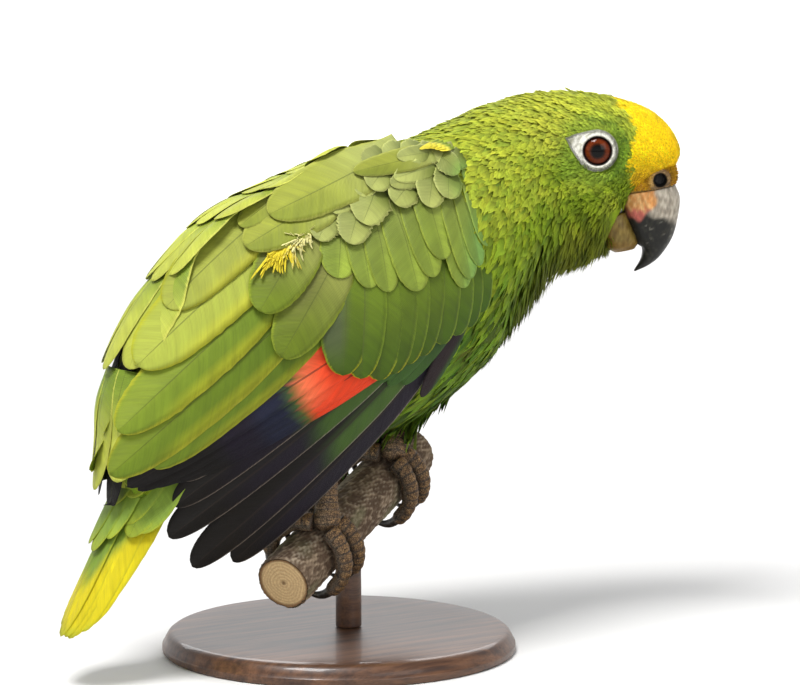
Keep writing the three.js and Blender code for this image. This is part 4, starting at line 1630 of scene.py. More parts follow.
def paint_scapular(at: VaneField) -> tuple[Array, Array]:
    """Light sage feathers along the top of the wing.

    Args:
        at: The points of the row's feathers.

    Returns:
        The colours of webs and of edges.
    """
    web = blend(tone(154, 160, 88), tone(140, 146, 52), fade(0.1, 0.7, at.run))
    web = blend(web, tone(108, 120, 34), 0.6 * at.outer * fade(0.3, 0.9, at.run))
    return web, np.broadcast_to(tone(162, 166, 74), web.shape)


def paint_tuft(at: VaneField) -> tuple[Array, Array]:
    """Loose down, whitish where it starts and yellow where it hangs."""
    web = blend(tone(226, 220, 150), tone(228, 208, 52), fade(0.35, 0.6, at.order))
    return web, web


def paint_bend(at: VaneField) -> tuple[Array, Array]:
    """Small yellow feathers on the bend of the wing."""
    web = blend(tone(120, 140, 40), tone(222, 206, 60), fade(0.2, 0.6, at.run))
    return web, web


def paint_mantle(at: VaneField) -> tuple[Array, Array]:
    """Light yellow-green feathers of the back."""
    web = blend(tone(112, 134, 40), tone(176, 182, 72), fade(0.1, 0.75, at.run))
    return web, np.broadcast_to(tone(190, 192, 84), web.shape)


def paint_far_dark(at: VaneField) -> tuple[Array, Array]:
    """The blackish ends that show below the back's last feathers."""
    web = np.broadcast_to(tone(18, 15, 12), (*at.run.shape, 3))
    return web, web


def paint_tertial(at: VaneField) -> tuple[Array, Array]:
    """Long olive-green feathers with yellow outer rims and tips.

    Args:
        at: The points of the row's feathers.

    Returns:
        The colours of webs and of edges.
    """
    web = blend(tone(86, 106, 18), tone(120, 138, 34), fade(0.2, 1.0, at.run))
    # Painted light: the upper tertials are paler, as if lit from above.
    high = fade(0.6, 0.15, at.order)
    web = blend(web, tone(158, 163, 66), 0.8 * high)
    web = blend(web, tone(92, 118, 24), 0.5 * at.outer * (1 - high))
    streak = fade(-0.45, -0.85, at.across) * fade(0.2, 0.4, at.run) * fade(0.95, 0.75, at.run)
    web = blend(web, tone(188, 180, 30), 0.4 * streak)
    return web, np.broadcast_to(RIM_YELLOW, web.shape)


def paint_secondary(at: VaneField) -> tuple[Array, Array]:
    """Secondaries: green at the root, then the red speculum, then blue-violet ends.

    Args:
        at: The points of the row's feathers.

    Returns:
        The colours of webs and of edges.
    """
    a = at.ab[..., 0] + 4 * at.across
    web = np.broadcast_to(tone(60, 92, 26), (*a.shape, 3))
    red = blend(tone(236, 66, 24), tone(240, 120, 76), fade(0.1, 0.9, at.order) * fade(84, 98, a))
    web = blend(web, red, fade(62, 66, a))
    web = blend(web, tone(66, 90, 34), fade(97, 100, a))
    web = blend(web, tone(22, 26, 48), fade(101, 105, a))
    web = blend(web, tone(22, 14, 30), fade(112, 122, a))
    web = blend(web, tone(16, 12, 10), fade(128, 136, a))
    return web, web * 0.85 + 0.006


def paint_primary(at: VaneField) -> tuple[Array, Array]:
    """Blackish primaries: outer webs green, then violet, with a thin pale margin.

    Args:
        at: The points of the row's feathers.

    Returns:
        The colours of webs and of edges.
    """
    a = at.ab[..., 0] + 5 * at.across
    web = np.broadcast_to(tone(13, 8, 4), (*at.run.shape, 3))
    inner = fade(0.0, 0.16, at.order)
    web = blend(
        web, tone(26, 17, 36), 0.6 * at.outer * fade(0.9, 0.5, np.abs(at.across)) * fade(150, 120, a)
    )
    web = blend(web, tone(58, 84, 26), at.outer * fade(108, 92, a) * inner)
    edge = blend(web, tone(150, 136, 122), 0.8 * fade(0.0, -0.2, at.across) * fade(166, 140, a))
    return web, edge


def paint_primary_covert(at: VaneField) -> tuple[Array, Array]:
    """Deep green primary coverts, the outermost violet-black.

    Args:
        at: The points of the row's feathers.

    Returns:
        The colours of webs and of edges.
    """
    web = blend(tone(40, 66, 22), tone(56, 88, 30), fade(0.2, 0.8, at.run))
    web = blend(web, tone(38, 26, 28), fade(0.7, 1.0, at.order) * fade(-0.9, -0.4, at.across))
    return web, web * 1.5


def paint_tail(at: VaneField) -> tuple[Array, Array]:
    """Green tail feathers with a slanting yellow band and yellow-green ends and outer rims.

    Args:
        at: The points of the row's feathers.

    Returns:
        The colours of webs and of edges.
    """
    b = at.ab[..., 1]
    yellow = fade(0.67, 0.84, at.run + 0.05 * np.abs(at.across) + 0.3 * fade(2, -14, b))
    web = blend(tone(112, 138, 46), tone(206, 190, 16), yellow)
    web = blend(web, tone(158, 168, 40), 0.75 * fade(0.93, 1.0, at.run + 0.03 * np.abs(at.across)))
    web = blend(web, tone(134, 158, 50), 0.75 * fade(9.0, 14.0, b) * fade(0.95, 0.7, at.run))
    return web, blend(tone(150, 166, 44), tone(196, 186, 34), yellow)


def paint_tail_covert(at: VaneField) -> tuple[Array, Array]:
    """Soft green coverts at the root of the tail, yellower towards their ends.

    Args:
        at: The points of the row's feathers.

    Returns:
        The colours of webs and of edges.
    """
    web = blend(tone(96, 122, 34), tone(122, 148, 54), fade(0.1, 0.75, at.run))
    web = blend(web, tone(158, 170, 44), 0.7 * fade(0.8, 1.0, at.run))
    return web, blend(tone(132, 154, 52), tone(168, 176, 46), fade(0.7, 1.0, at.run))


@dataclass
class VaneRow:
    """Builds a tier's feathers on a surface, each a closed vane with barbs that sweep to its outline."""

    tier: Tier
    surface: Callable[[Array, Array], Array]
    seed: int
    thick: float = 0.24
    guard: BVHTree | None = None
    guard_gap: float = 0.9

    def shape(self, length: float, half: float, draw: np.random.Generator) -> tuple[Array, Array]:
        """One feather's points as distances along and across it, by row and column.

        Args:
            length: The feather's length.
            half: Half its width.
            draw: The row's seeded generator.

        Returns:
            The distance along and the distance across.
        """
        tier = self.tier
        s = np.linspace(0, 1, tier.rows)[:, None] ** 0.92
        v = np.linspace(-1, 1, tier.columns)[None, :]
        edge_run = 1 - (1 - s) ** 1.4
        width = tier.narrow + (1 - tier.narrow) * fade(0, tier.fullest, edge_run)
        width = width * np.maximum(1 - edge_run**tier.round_end, 0.0004) ** 0.5
        width = width * (1 + tier.ragged * draw.normal(size=(tier.rows, tier.columns)) * np.abs(v) ** 4)
        run = s + (edge_run - s) * np.abs(v) ** 1.25
        share = np.where(v < 0, tier.outer_share, tier.inner_share)
        return run * length, half * width * v * share

    def build(self) -> dict[str, Array]:
        """Builds the row.

        Returns:
            Points, Vane map, bake cells, colours and quads of all its feathers.
        """
        tier, draw = self.tier, np.random.default_rng(self.seed)
        sheets = [self.feather(i, draw) for i in range(tier.count)]
        size = 2 * tier.rows * tier.columns
        quads = self.quads(sheets[0]["points"])
        out = {key: np.concatenate([sheet[key] for sheet in sheets]) for key in sheets[0]}
        out["quads"] = np.concatenate([quads + size * i for i in range(tier.count)])
        return out

    def quads(self, points: Array) -> Array:
        """The polygons of one closed vane, turned to face out.

        Args:
            points: A feather's points, upper ones first.

        Returns:
            One row of four point numbers for each quad.
        """
        rows, columns = self.tier.rows, self.tier.columns
        quads = sheet_quads(rows, columns)
        mid = (rows // 2) * columns + columns // 2
        facing = np.cross(points[mid + 1] - points[mid], points[mid + columns] - points[mid])
        return quads if facing @ (points[mid] - points[mid + rows * columns]) > 0 else quads[:, ::-1]

    def feather(self, i: int, draw: np.random.Generator) -> dict[str, Array]:
        """One feather's points, maps and colours.

        Args:
            i: Its number in the row.
            draw: The row's seeded generator.

        Returns:
            The arrays by name.
        """
        tier = self.tier
        u = i / max(tier.count - 1, 1)
        root, tip = curve(tier.roots, u), curve(tier.tips, u)
        tip = tip + draw.normal(size=2) * tier.stray * 0.5
        length = float(np.linalg.norm(tip - root))
        half = float(np.interp(u, np.linspace(0, 1, len(tier.half)), tier.half)) * draw.uniform(0.92, 1.08)
        run, wide = self.shape(length, half, draw)
        way = (tip - root) / length
        side = np.array([-way[1], way[0]])
        t = run / length
        q = wide / half
        off = wide + tier.bend * (1 - u) * np.sin(math.pi * t)
        ab = root + run[..., None] * way + off[..., None] * side
        low, high = tier.levels
        level = low + (high + tier.step * u - low) * fade(0, 0.55, t) + tier.lift * t**4
        level = (
            level + draw.normal() * 0.08 - q * tier.tilt * fade(0, 0.4, t)
            - 0.045 * half * q * q * fade(0, 0.3, t)
        )
        thick = self.thick * (1 - 0.6 * t) * (1 - 0.7 * q * q) + 0.05
        top = self.surface(ab, level)
        under = self.surface(ab, level - thick)
        if self.guard is not None:
            top, under = self.clear(top, under, t, u)
        web, edge = tier.painter(VaneField(t, q, ab, np.full_like(t, u)))
        shade = draw.normal(1.0, 0.08) * (1 + 0.05 * ripple(ab, 14.0, self.seed + i))[..., None]
        v = np.linspace(-1, 1, tier.columns)[None, :] * np.ones_like(t)
        vane = np.stack(
            [(np.linspace(0, 1, tier.rows)[:, None] * length + 0 * v) / 100 + 0.43 * i, v * 0.5 + 0.5], -1,
        )
        cell = np.stack([t * 0.9 + 0.05, v * 0.45 + 0.5], -1)
        sheets = {"vane": vane, "cell": cell, "web": web * shade, "edge": edge * shade}
        both = {key: np.tile(sheet.reshape(-1, sheet.shape[-1]), (2, 1)) for key, sheet in sheets.items()}
        both["points"] = np.concatenate([top.reshape(-1, 3), under.reshape(-1, 3)])
        both["feather"] = np.full(len(both["points"]), i)
        return both

    def clear(self, top: Array, under: Array, t: Array, u: float) -> tuple[Array, Array]:
        """Lifts a feather's points out of the body where they would sink into it.

        Args:
            top: The upper points.
            under: The lower points.
            t: Shares of the way along.
            u: The feather's share of the row.

        Returns:
            The upper and the lower points.
        """
        flat = top.reshape(-1, 3)
        hits = [self.guard.find_nearest(Vector(p)) for p in flat.tolist()]
        near = np.array([hit[0] for hit in hits])
        out = np.array([hit[1] for hit in hits])
        above = ((flat - near) * out).sum(1)
        wanted = (self.guard_gap + self.tier.step * u) * fade(0.1, 0.4, t).ravel()
        push = np.clip(wanted - above, 0, 12) * fade(0.05, 0.35, t).ravel()
        shift = (out * push[:, None]).reshape(top.shape)
        return top + shift, under + shift


def join_rows(name: str, rows: list[dict[str, Array]]) -> Object:
    """Joins rows of large feathers into one piece, with a bake cell for each feather.

    Args:
        name: The piece's name.
        rows: What VaneRow.build gave.

    Returns:
        The piece.
    """
    starts = np.cumsum([0] + [len(row["points"]) for row in rows])
    firsts = np.cumsum([0] + [int(row["feather"].max()) + 1 for row in rows])
    number = np.concatenate([row["feather"] + first for row, first in zip(rows, firsts)])
    side = math.ceil(math.sqrt(firsts[-1] / 2.5))
    across = math.ceil(firsts[-1] / side)
    cells = np.concatenate([row["cell"] for row in rows])
    place = np.stack([(number % side + cells[:, 0]) / side, (number // side + cells[:, 1]) / across], 1)
    return make_piece(
        name, np.concatenate([row["points"] for row in rows]),
        [np.concatenate([row["quads"] + start for row, start in zip(rows, starts)])],
        {"Vane": np.concatenate([row["vane"] for row in rows]), "OFBake": place},
        {key: np.concatenate([row[key] for row in rows]) for key in ("web", "edge")},
    )


@dataclass(frozen=True)
class WingFeathers:
    """The tiers of one folded wing, in the order in which they lie on one another."""

    lesser: tuple[Tier, ...] = (
        Tier(
            "marginal", ((21, 52.5), (11, 47.5), (1, 42), (-7, 36.5), (-14, 31), (-18, 24)),
            ((36, 57), (24, 52), (12, 47), (3, 40), (-5, 30), (-9, 18)), 9, (5.0, 4.8, 4.6, 4.4),
            (-1.6, 0.2), paint_lesser, lift=0.3, ragged=0.06, stray=1.6, narrow=0.5,
        ),
        Tier(
            "lesser_middle", ((40, 49), (27, 50), (33, 43), (22, 43)),
            ((58, 42.5), (46.3, 47), (50, 34.4), (40.5, 36.5)), 4, (6.8, 7.2, 7.4, 7.8), (-1.7, 0.7),
            paint_lesser, step=0.8, tilt=-0.4, lift=0.8, ragged=0.06, rows=28,
        ),
        Tier(
            "lesser_upper",
            ((21, 48), (9, 35), (-1, 33), (-6, 29), (2, 31), (-6, 30), (-5, 36), (-8, 34), (12, 45.5)),
            (
                (33, 43.7), (24.8, 33.7), (14.5, 23.7), (5.1, 20.4), (20.5, 39.5), (17.5, 40), (-7, 24),
                (10, 44.5), (28, 43.5),
            ),
            9, (5.4, 6.4, 7.4, 6.6, 4.0, 4.6, 5.2, 4.0, 6.6), (-1.5, 0.9), paint_lesser, step=1.0,
            tilt=-0.4, lift=0.9, ragged=0.035, rows=28,
        ),
        Tier(
            "bend_of_wing", ((-14, 31), (-13, 34), (-11, 37)), ((-6.5, 35), (-4, 38), (0, 40.5)), 5, (0.9,),
            (-1.0, 1.9), paint_bend, narrow=0.5,
        ),
    )
    median: tuple[Tier, ...] = (
        Tier(
            "median",
            (
                (44, 43), (39, 41), (30, 41), (22, 38), (15, 36), (5, 23), (7, 35), (-1, 28), (-7, 26),
                (-13, 25), (-17, 21),
            ),
            (
                (61.9, 27.5), (54.5, 16.8), (49.7, 11.0), (39.5, 3.3), (30.5, 2.8), (22.1, -9.1),
                (22.5, 5.0), (17.6, -8.3), (10.8, -7.4), (2.9, -4.0), (-5.0, -2.0),
            ),
            11, (7.4, 6.8, 7.6, 8.2, 7.4, 6.8, 7.6, 6.6, 6.0, 5.4, 5.0), (-1.9, -0.5), paint_median,
            step=1.5, tilt=-0.5, lift=0.6, narrow=0.7, round_end=5.5, rows=28,
        ),
    )
    greater: tuple[Tier, ...] = (
        Tier(
            "greater", ((50, 36), (40, 28), (30, 21), (20, 13), (11, 5), (5, -3)),
            ((83, -1), (74, -10), (63, -14), (49, -18), (36, -21), (22, -21)), 10,
            (10.2, 9.0, 8.4, 7.4, 5.6), (-1.8, 0.1), paint_greater, lift=0.8, narrow=0.62, round_end=5.5,
            tilt=0.7, stray=1.6,
        ),
        Tier(
            "tertial_covert", ((48, 51), (44, 38)), ((92.7, 37.0), (97.5, 19.2)), 2, (10.2, 10.8),
            (-1.5, 0.7), paint_tertial_covert, step=-0.9, lift=1.0, round_end=5.0, rows=30,
        ),
    )
    scapulars: tuple[Tier, ...] = (
        Tier(
            "scapular", ((48, 62), (24, 49), (4, 45.5), (-14, 31)),
            ((75, 63.5), (79.4, 57.2), (64, 60), (28, 51.5)), 4, (4.6, 10.0, 9.4, 4.6), (-1.4, 0.7),
            paint_scapular, step=1.2, lift=0.9, narrow=0.55, round_end=4.6, rows=30,
        ),
        Tier(
            "down", ((58, 46.8), (62, 47.5), (66, 48.4), (71, 49.2), (75, 49.6)),
            ((60.5, 45.4), (65, 46), (71, 45.4), (76, 46), (80.5, 47.2)), 110, (0.22, 0.3), (0.4, 1.7),
            paint_tuft, lift=1.0, narrow=0.4, ragged=0.05, stray=5.0, rows=8, columns=5,
        ),
    )
    tertials: tuple[Tier, ...] = (
        Tier(
            "tertial", ((52, 60), (56, 52), (62, 41), (62, 29), (60, 19)),
            ((116, 58.3), (138.5, 49), (159.5, 35.2), (171.5, 24.5), (158, 17)), 5,
            (10.4, 12.6, 11.6, 11.6, 8.8), (-2.2, 0.0), paint_tertial, step=-1.9, bend=1.5, round_end=6.0,
            rows=34,
        ),
    )
    secondaries: tuple[Tier, ...] = (
        Tier(
            "secondary", ((42, -13), (46, -10), (50, -7), (54, -3), (58, 2)),
            ((150, 6), (156, 8.5), (162, 11), (167, 13.5), (169, 17)), 5, (8.5,), (-2.6, -2.7),
            paint_secondary, lift=0.3, step=0.8, narrow=0.7, round_end=6.0, outer_share=0.65, rows=26,
            tilt=0.5, stray=0.5,
        ),
    )
    primaries: tuple[Tier, ...] = (
        Tier(
            "primary", ((44, -19), (47, -14.5), (50, -9.5), (55, -4), (60, 2)),
            ((153.5, -33), (167, -24), (168, -8.5), (160, 0), (152, 6)), 5, (9.4, 9.8, 9.4, 8.4, 7.6),
            (-4.6, -4.9), paint_primary, lift=0.4, step=1.7, bend=-2.0, narrow=0.8, fullest=0.3,
            round_end=11.0, outer_share=0.7, inner_share=1.1, ragged=0.0, rows=34,
        ),
        Tier(
            "primary_covert", ((34, -8), (30, -12), (26, -15), (22, -17)),
            ((74, -13), (70, -17), (65, -21), (61, -30)), 4, (4.6, 4.4, 4.0, 3.8), (-2.6, -3.0),
            paint_primary_covert, lift=0.3, round_end=5.0, stray=0.5,
        ),
    )
    pivot: tuple[float, float] = (38.0, -20.0)
    solid_tiers: tuple[str, ...] = ("coverts", "secondaries", "primaries")
    # How much more closed the left wing is than the right one.
    fold: float = 12.5
    drape: float = 22.0
    fold_in: float = 11.0
    sink: float = 5.0

    def build(self, wing: WingSurface, finishes: dict[str, Material]) -> list[Object]:
        """Makes the wing's pieces.

        Args:
            wing: The surface that they lie on.
            finishes: The materials by name.

        Returns:
            Coverts, scapulars, tertials, secondaries and primaries.
        """
        word = wing.side.word
        points, triangles = node_arrays("torso")
        body = search_tree(points, [triangles])
        closed = float(wing.side is Side.LEFT)
        turn = math.radians(self.fold * closed)
        aside = np.array([0.0, wing.side.value, 0.0])

        def lay(ab: Array, level: Array) -> Array:
            """The wing's surface, sunk and drawn in towards the back."""
            down = self.sink * closed * fade(20, 48, ab[..., 1])
            inward = self.fold_in * closed * fade(105, 165, ab[..., 0]) * fade(60, 30, ab[..., 1])
            return wing.point(ab, level) - down[..., None] * [0.0, 0.0, 1.0] - inward[..., None] * aside

        def draped(ab: Array, level: Array) -> Array:
            """The same, drawn in further where it lies on the back."""
            inward = self.drape * closed * fade(40, 130, ab[..., 0]) * fade(15, 62, ab[..., 1])
            return lay(ab, level) - inward[..., None] * aside

        def folded(ab: Array, level: Array) -> Array:
            """The surface of the primaries, swung about the pivot and drawn in."""
            pivot = np.array(self.pivot)
            x, y = (ab - pivot)[..., 0], (ab - pivot)[..., 1]
            swung = np.stack(
                [x * math.cos(turn) - y * math.sin(turn), x * math.sin(turn) + y * math.cos(turn)], -1,
            )
            inward = self.fold_in * closed * fade(60, 160, ab[..., 0])
            return wing.point(swung + pivot, level) - inward[..., None] * aside

        groups = (
            ("coverts", self.greater + self.median + self.lesser, lay, "covert", None),
            ("scapulars", self.scapulars, draped, "covert", body),
            ("tertials", self.tertials, draped, "covert", body),
            ("secondaries", self.secondaries, lay, "flight", body),
            ("primaries", self.primaries, folded, "flight", None),
        )
        made = []
        for i, (name, tiers, surface, finish, guard) in enumerate(groups):
            rows = [
                VaneRow(tier, surface, 100 * (i + 1) + 10 * k + wing.side.value, guard=guard).build()
                for k, tier in enumerate(tiers) if tier.name != "down" or wing.side is Side.RIGHT
            ]
            piece = join_rows(f"wing_{word}_{name}_vanes", rows)
            replaced = [f"wing_{word}_{name}"] if name in self.solid_tiers else []
            slot = "flight_feather" if finish == "flight" else "green_feather"
            made.append(dress(piece, finishes[finish], slot, *replaced))
        return made


@dataclass(frozen=True)
class Mantle:
    """The feathers of the back, draped over its ridge between the wings."""

    ridge: tuple = (
        (24, 0, 188), (4, 0, 188.5), (-16, 0, 186), (-35, 0, 180.5), (-54, 0, 172.5), (-70, 0, 159.5),
        (-83.5, 0, 144), (-94.5, 0, 127), (-101.5, 0, 108.5), (-102.4, 0, 88.5), (-104.5, 0, 67),
    )
    pace: float = 20.0
    fall: float = 5.0
    fall_half: float = 16.0
    wing_rise: float = 9.0
    neck_rise: float = 3.2
    rows: tuple = (
        (6, 30, 4, 6.0), (22, 48, 4, 6.4), (36, 68, 4, 7.0), (52, 90, 4, 7.4), (70, 116, 4, 8.0),
        (98, 153, 3, 9.4), (150, 196, 3, 9.0),
    )

    def surface(self, ab: Array, level: Array) -> Array:
        """Points for places along the back and across it.

        Args:
            ab: Distances along and across.
            level: How far outside the surface each place lies.

        Returns:
            The points.
        """
        spans = len(self.ridge) - 1
        along = ab[..., 0] / (self.pace * spans)
        at = curve(self.ridge, along)
        way = unit(curve(self.ridge, along + 0.01) - curve(self.ridge, along - 0.01))
        out = np.cross([0.0, 1.0, 0.0], way)
        rise = level - self.fall * (ab[..., 1] / self.fall_half) ** 2
        share = 0.5 * fade(125, 95, ab[..., 0]) + 0.5 * fade(60, 34, ab[..., 0])
        rise = (
            rise
            + (
                self.wing_rise * share + self.neck_rise * fade(48, 26, ab[..., 0])
            ) * fade(-1, -14, ab[..., 1])
        )
        return at + out * rise[..., None] + ab[..., 1:2] * np.array([0.0, 1.0, 0.0])

    def build(self, finish: Material) -> Object:
        """Makes the back's feathers.

        Args:
            finish: Their material.

        Returns:
            The piece.
        """
        points, triangles = node_arrays("torso")
        body = search_tree(points, [triangles])
        dark = Tier(
            "far_dark", ((140, -2), (140, 8)), ((202, -3), (198, 8)), 2, (7.0,), (-4.5, -3.5),
            paint_far_dark, narrow=0.5,
        )
        made = [VaneRow(dark, self.surface, 400).build()]
        for i, (root, tip, count, half) in reversed(list(enumerate(self.rows))):
            tier = Tier(
                "mantle", ((root, -6), (root, 13)), ((tip - 5, -9), (tip, 5), (tip - 4, 19)), count,
                (half,), (-2.4, -0.12 * i), paint_mantle, step=0.7, tilt=0.3, lift=0.4, round_end=4.5,
                stray=1.6, rows=26,
            )
            made.append(VaneRow(tier, self.surface, 401 + i, guard=body, guard_gap=1.2).build())
        return dress(join_rows("mantle_vanes", made), finish, "green_feather")


@dataclass(frozen=True)
class Tail:
    """The tail: twelve long feathers under rows of coverts, on an arched surface down its length."""

    root: Point = (-80.0, 0.0, 92.0)
    tip: Point = (-120.0, 0.0, 19.0)
    crown: float = 4.5
    crown_half: float = 18.0
    spread: float = 13.0
    half: float = 6.4
    shortest: float = 0.86
    coverts: tuple = (
        (3, 0.36, 0.0, 8.0, 3.2, 71), (3, 0.5, -12.0, 4.5, 1.2, 74), (3, 0.6, 3.0, 6.5, 2.0, 72),
        (6, 0.5, 0.0, 9.0, -3.6, 73),
    )

    def surface(self, ab: Array, level: Array) -> Array:
        """Points for places down the tail and across it.

        Args:
            ab: Distances down and across.
            level: How far outside the surface each place lies.

        Returns:
            The points.
        """
        root, tip = np.array(self.root), np.array(self.tip)
        way = unit(tip - root)
        up = np.array([way[2], 0.0, -way[0]])
        up = up if up[2] > 0 else -up
        across = ab[..., 1]
        drop = self.crown * (across / self.crown_half) ** 2
        at = root + ab[..., :1] * way + (level - drop)[..., None] * up
        return at + across[..., None] * np.array([0.0, 1.0, 0.0])

    def build(self, finish: Material) -> Object:
        """Makes the tail.

        Args:
            finish: Its material.

        Returns:
            The piece, in place of the solid tail.
        """
        reach = float(np.linalg.norm(np.subtract(self.tip, self.root)))
        rows = []
        for side in (1, -1):
            inner, outer = 0.09 * self.spread * side, self.spread * side
            tier = Tier(
                "tail_feathers", ((4, outer * (1.05 - 0.25 * side)), (4, inner * 0.5)),
                (
                    (reach * self.shortest, outer * (0.9 + 0.15 * side)), (reach * 0.97, outer * 0.5),
                    (reach, inner),
                ),
                6, (self.half,), (-0.4, -1.6), paint_tail, step=1.5, tilt=0.5 * side, lift=0.0, narrow=0.7,
                round_end=7.0, rows=26, stray=0.8,
            )
            rows.append(VaneRow(tier, self.surface, 60 + side).build())
        for count, end, middle, spread, level, seed in self.coverts:
            tier = Tier(
                "tail_coverts", ((-8, middle - spread * 0.6), (-8, middle + spread * 0.6)),
                (
                    (reach * end * 0.9, middle - spread), (reach * end, middle),
                    (reach * end * 0.9, middle + spread),
                ),
                count, (9.2 if count < 6 else 7.4,), (-0.5, level), paint_tail_covert, lift=0.0, narrow=0.7,
                stray=2.0, rows=24,
            )
            rows.append(VaneRow(tier, self.surface, seed).build())
        return dress(join_rows("tail_vanes", rows), finish, "tail_feather", "tail")


# ------------------------------------------------------------------ bill, cere and eyes


@dataclass(frozen=True)
class Cut:
    """One cut across the bill: where its ridge and its edge are on the middle plane, and its half width."""

    ridge: tuple[float, float]
    edge: tuple[float, float]
    half: float


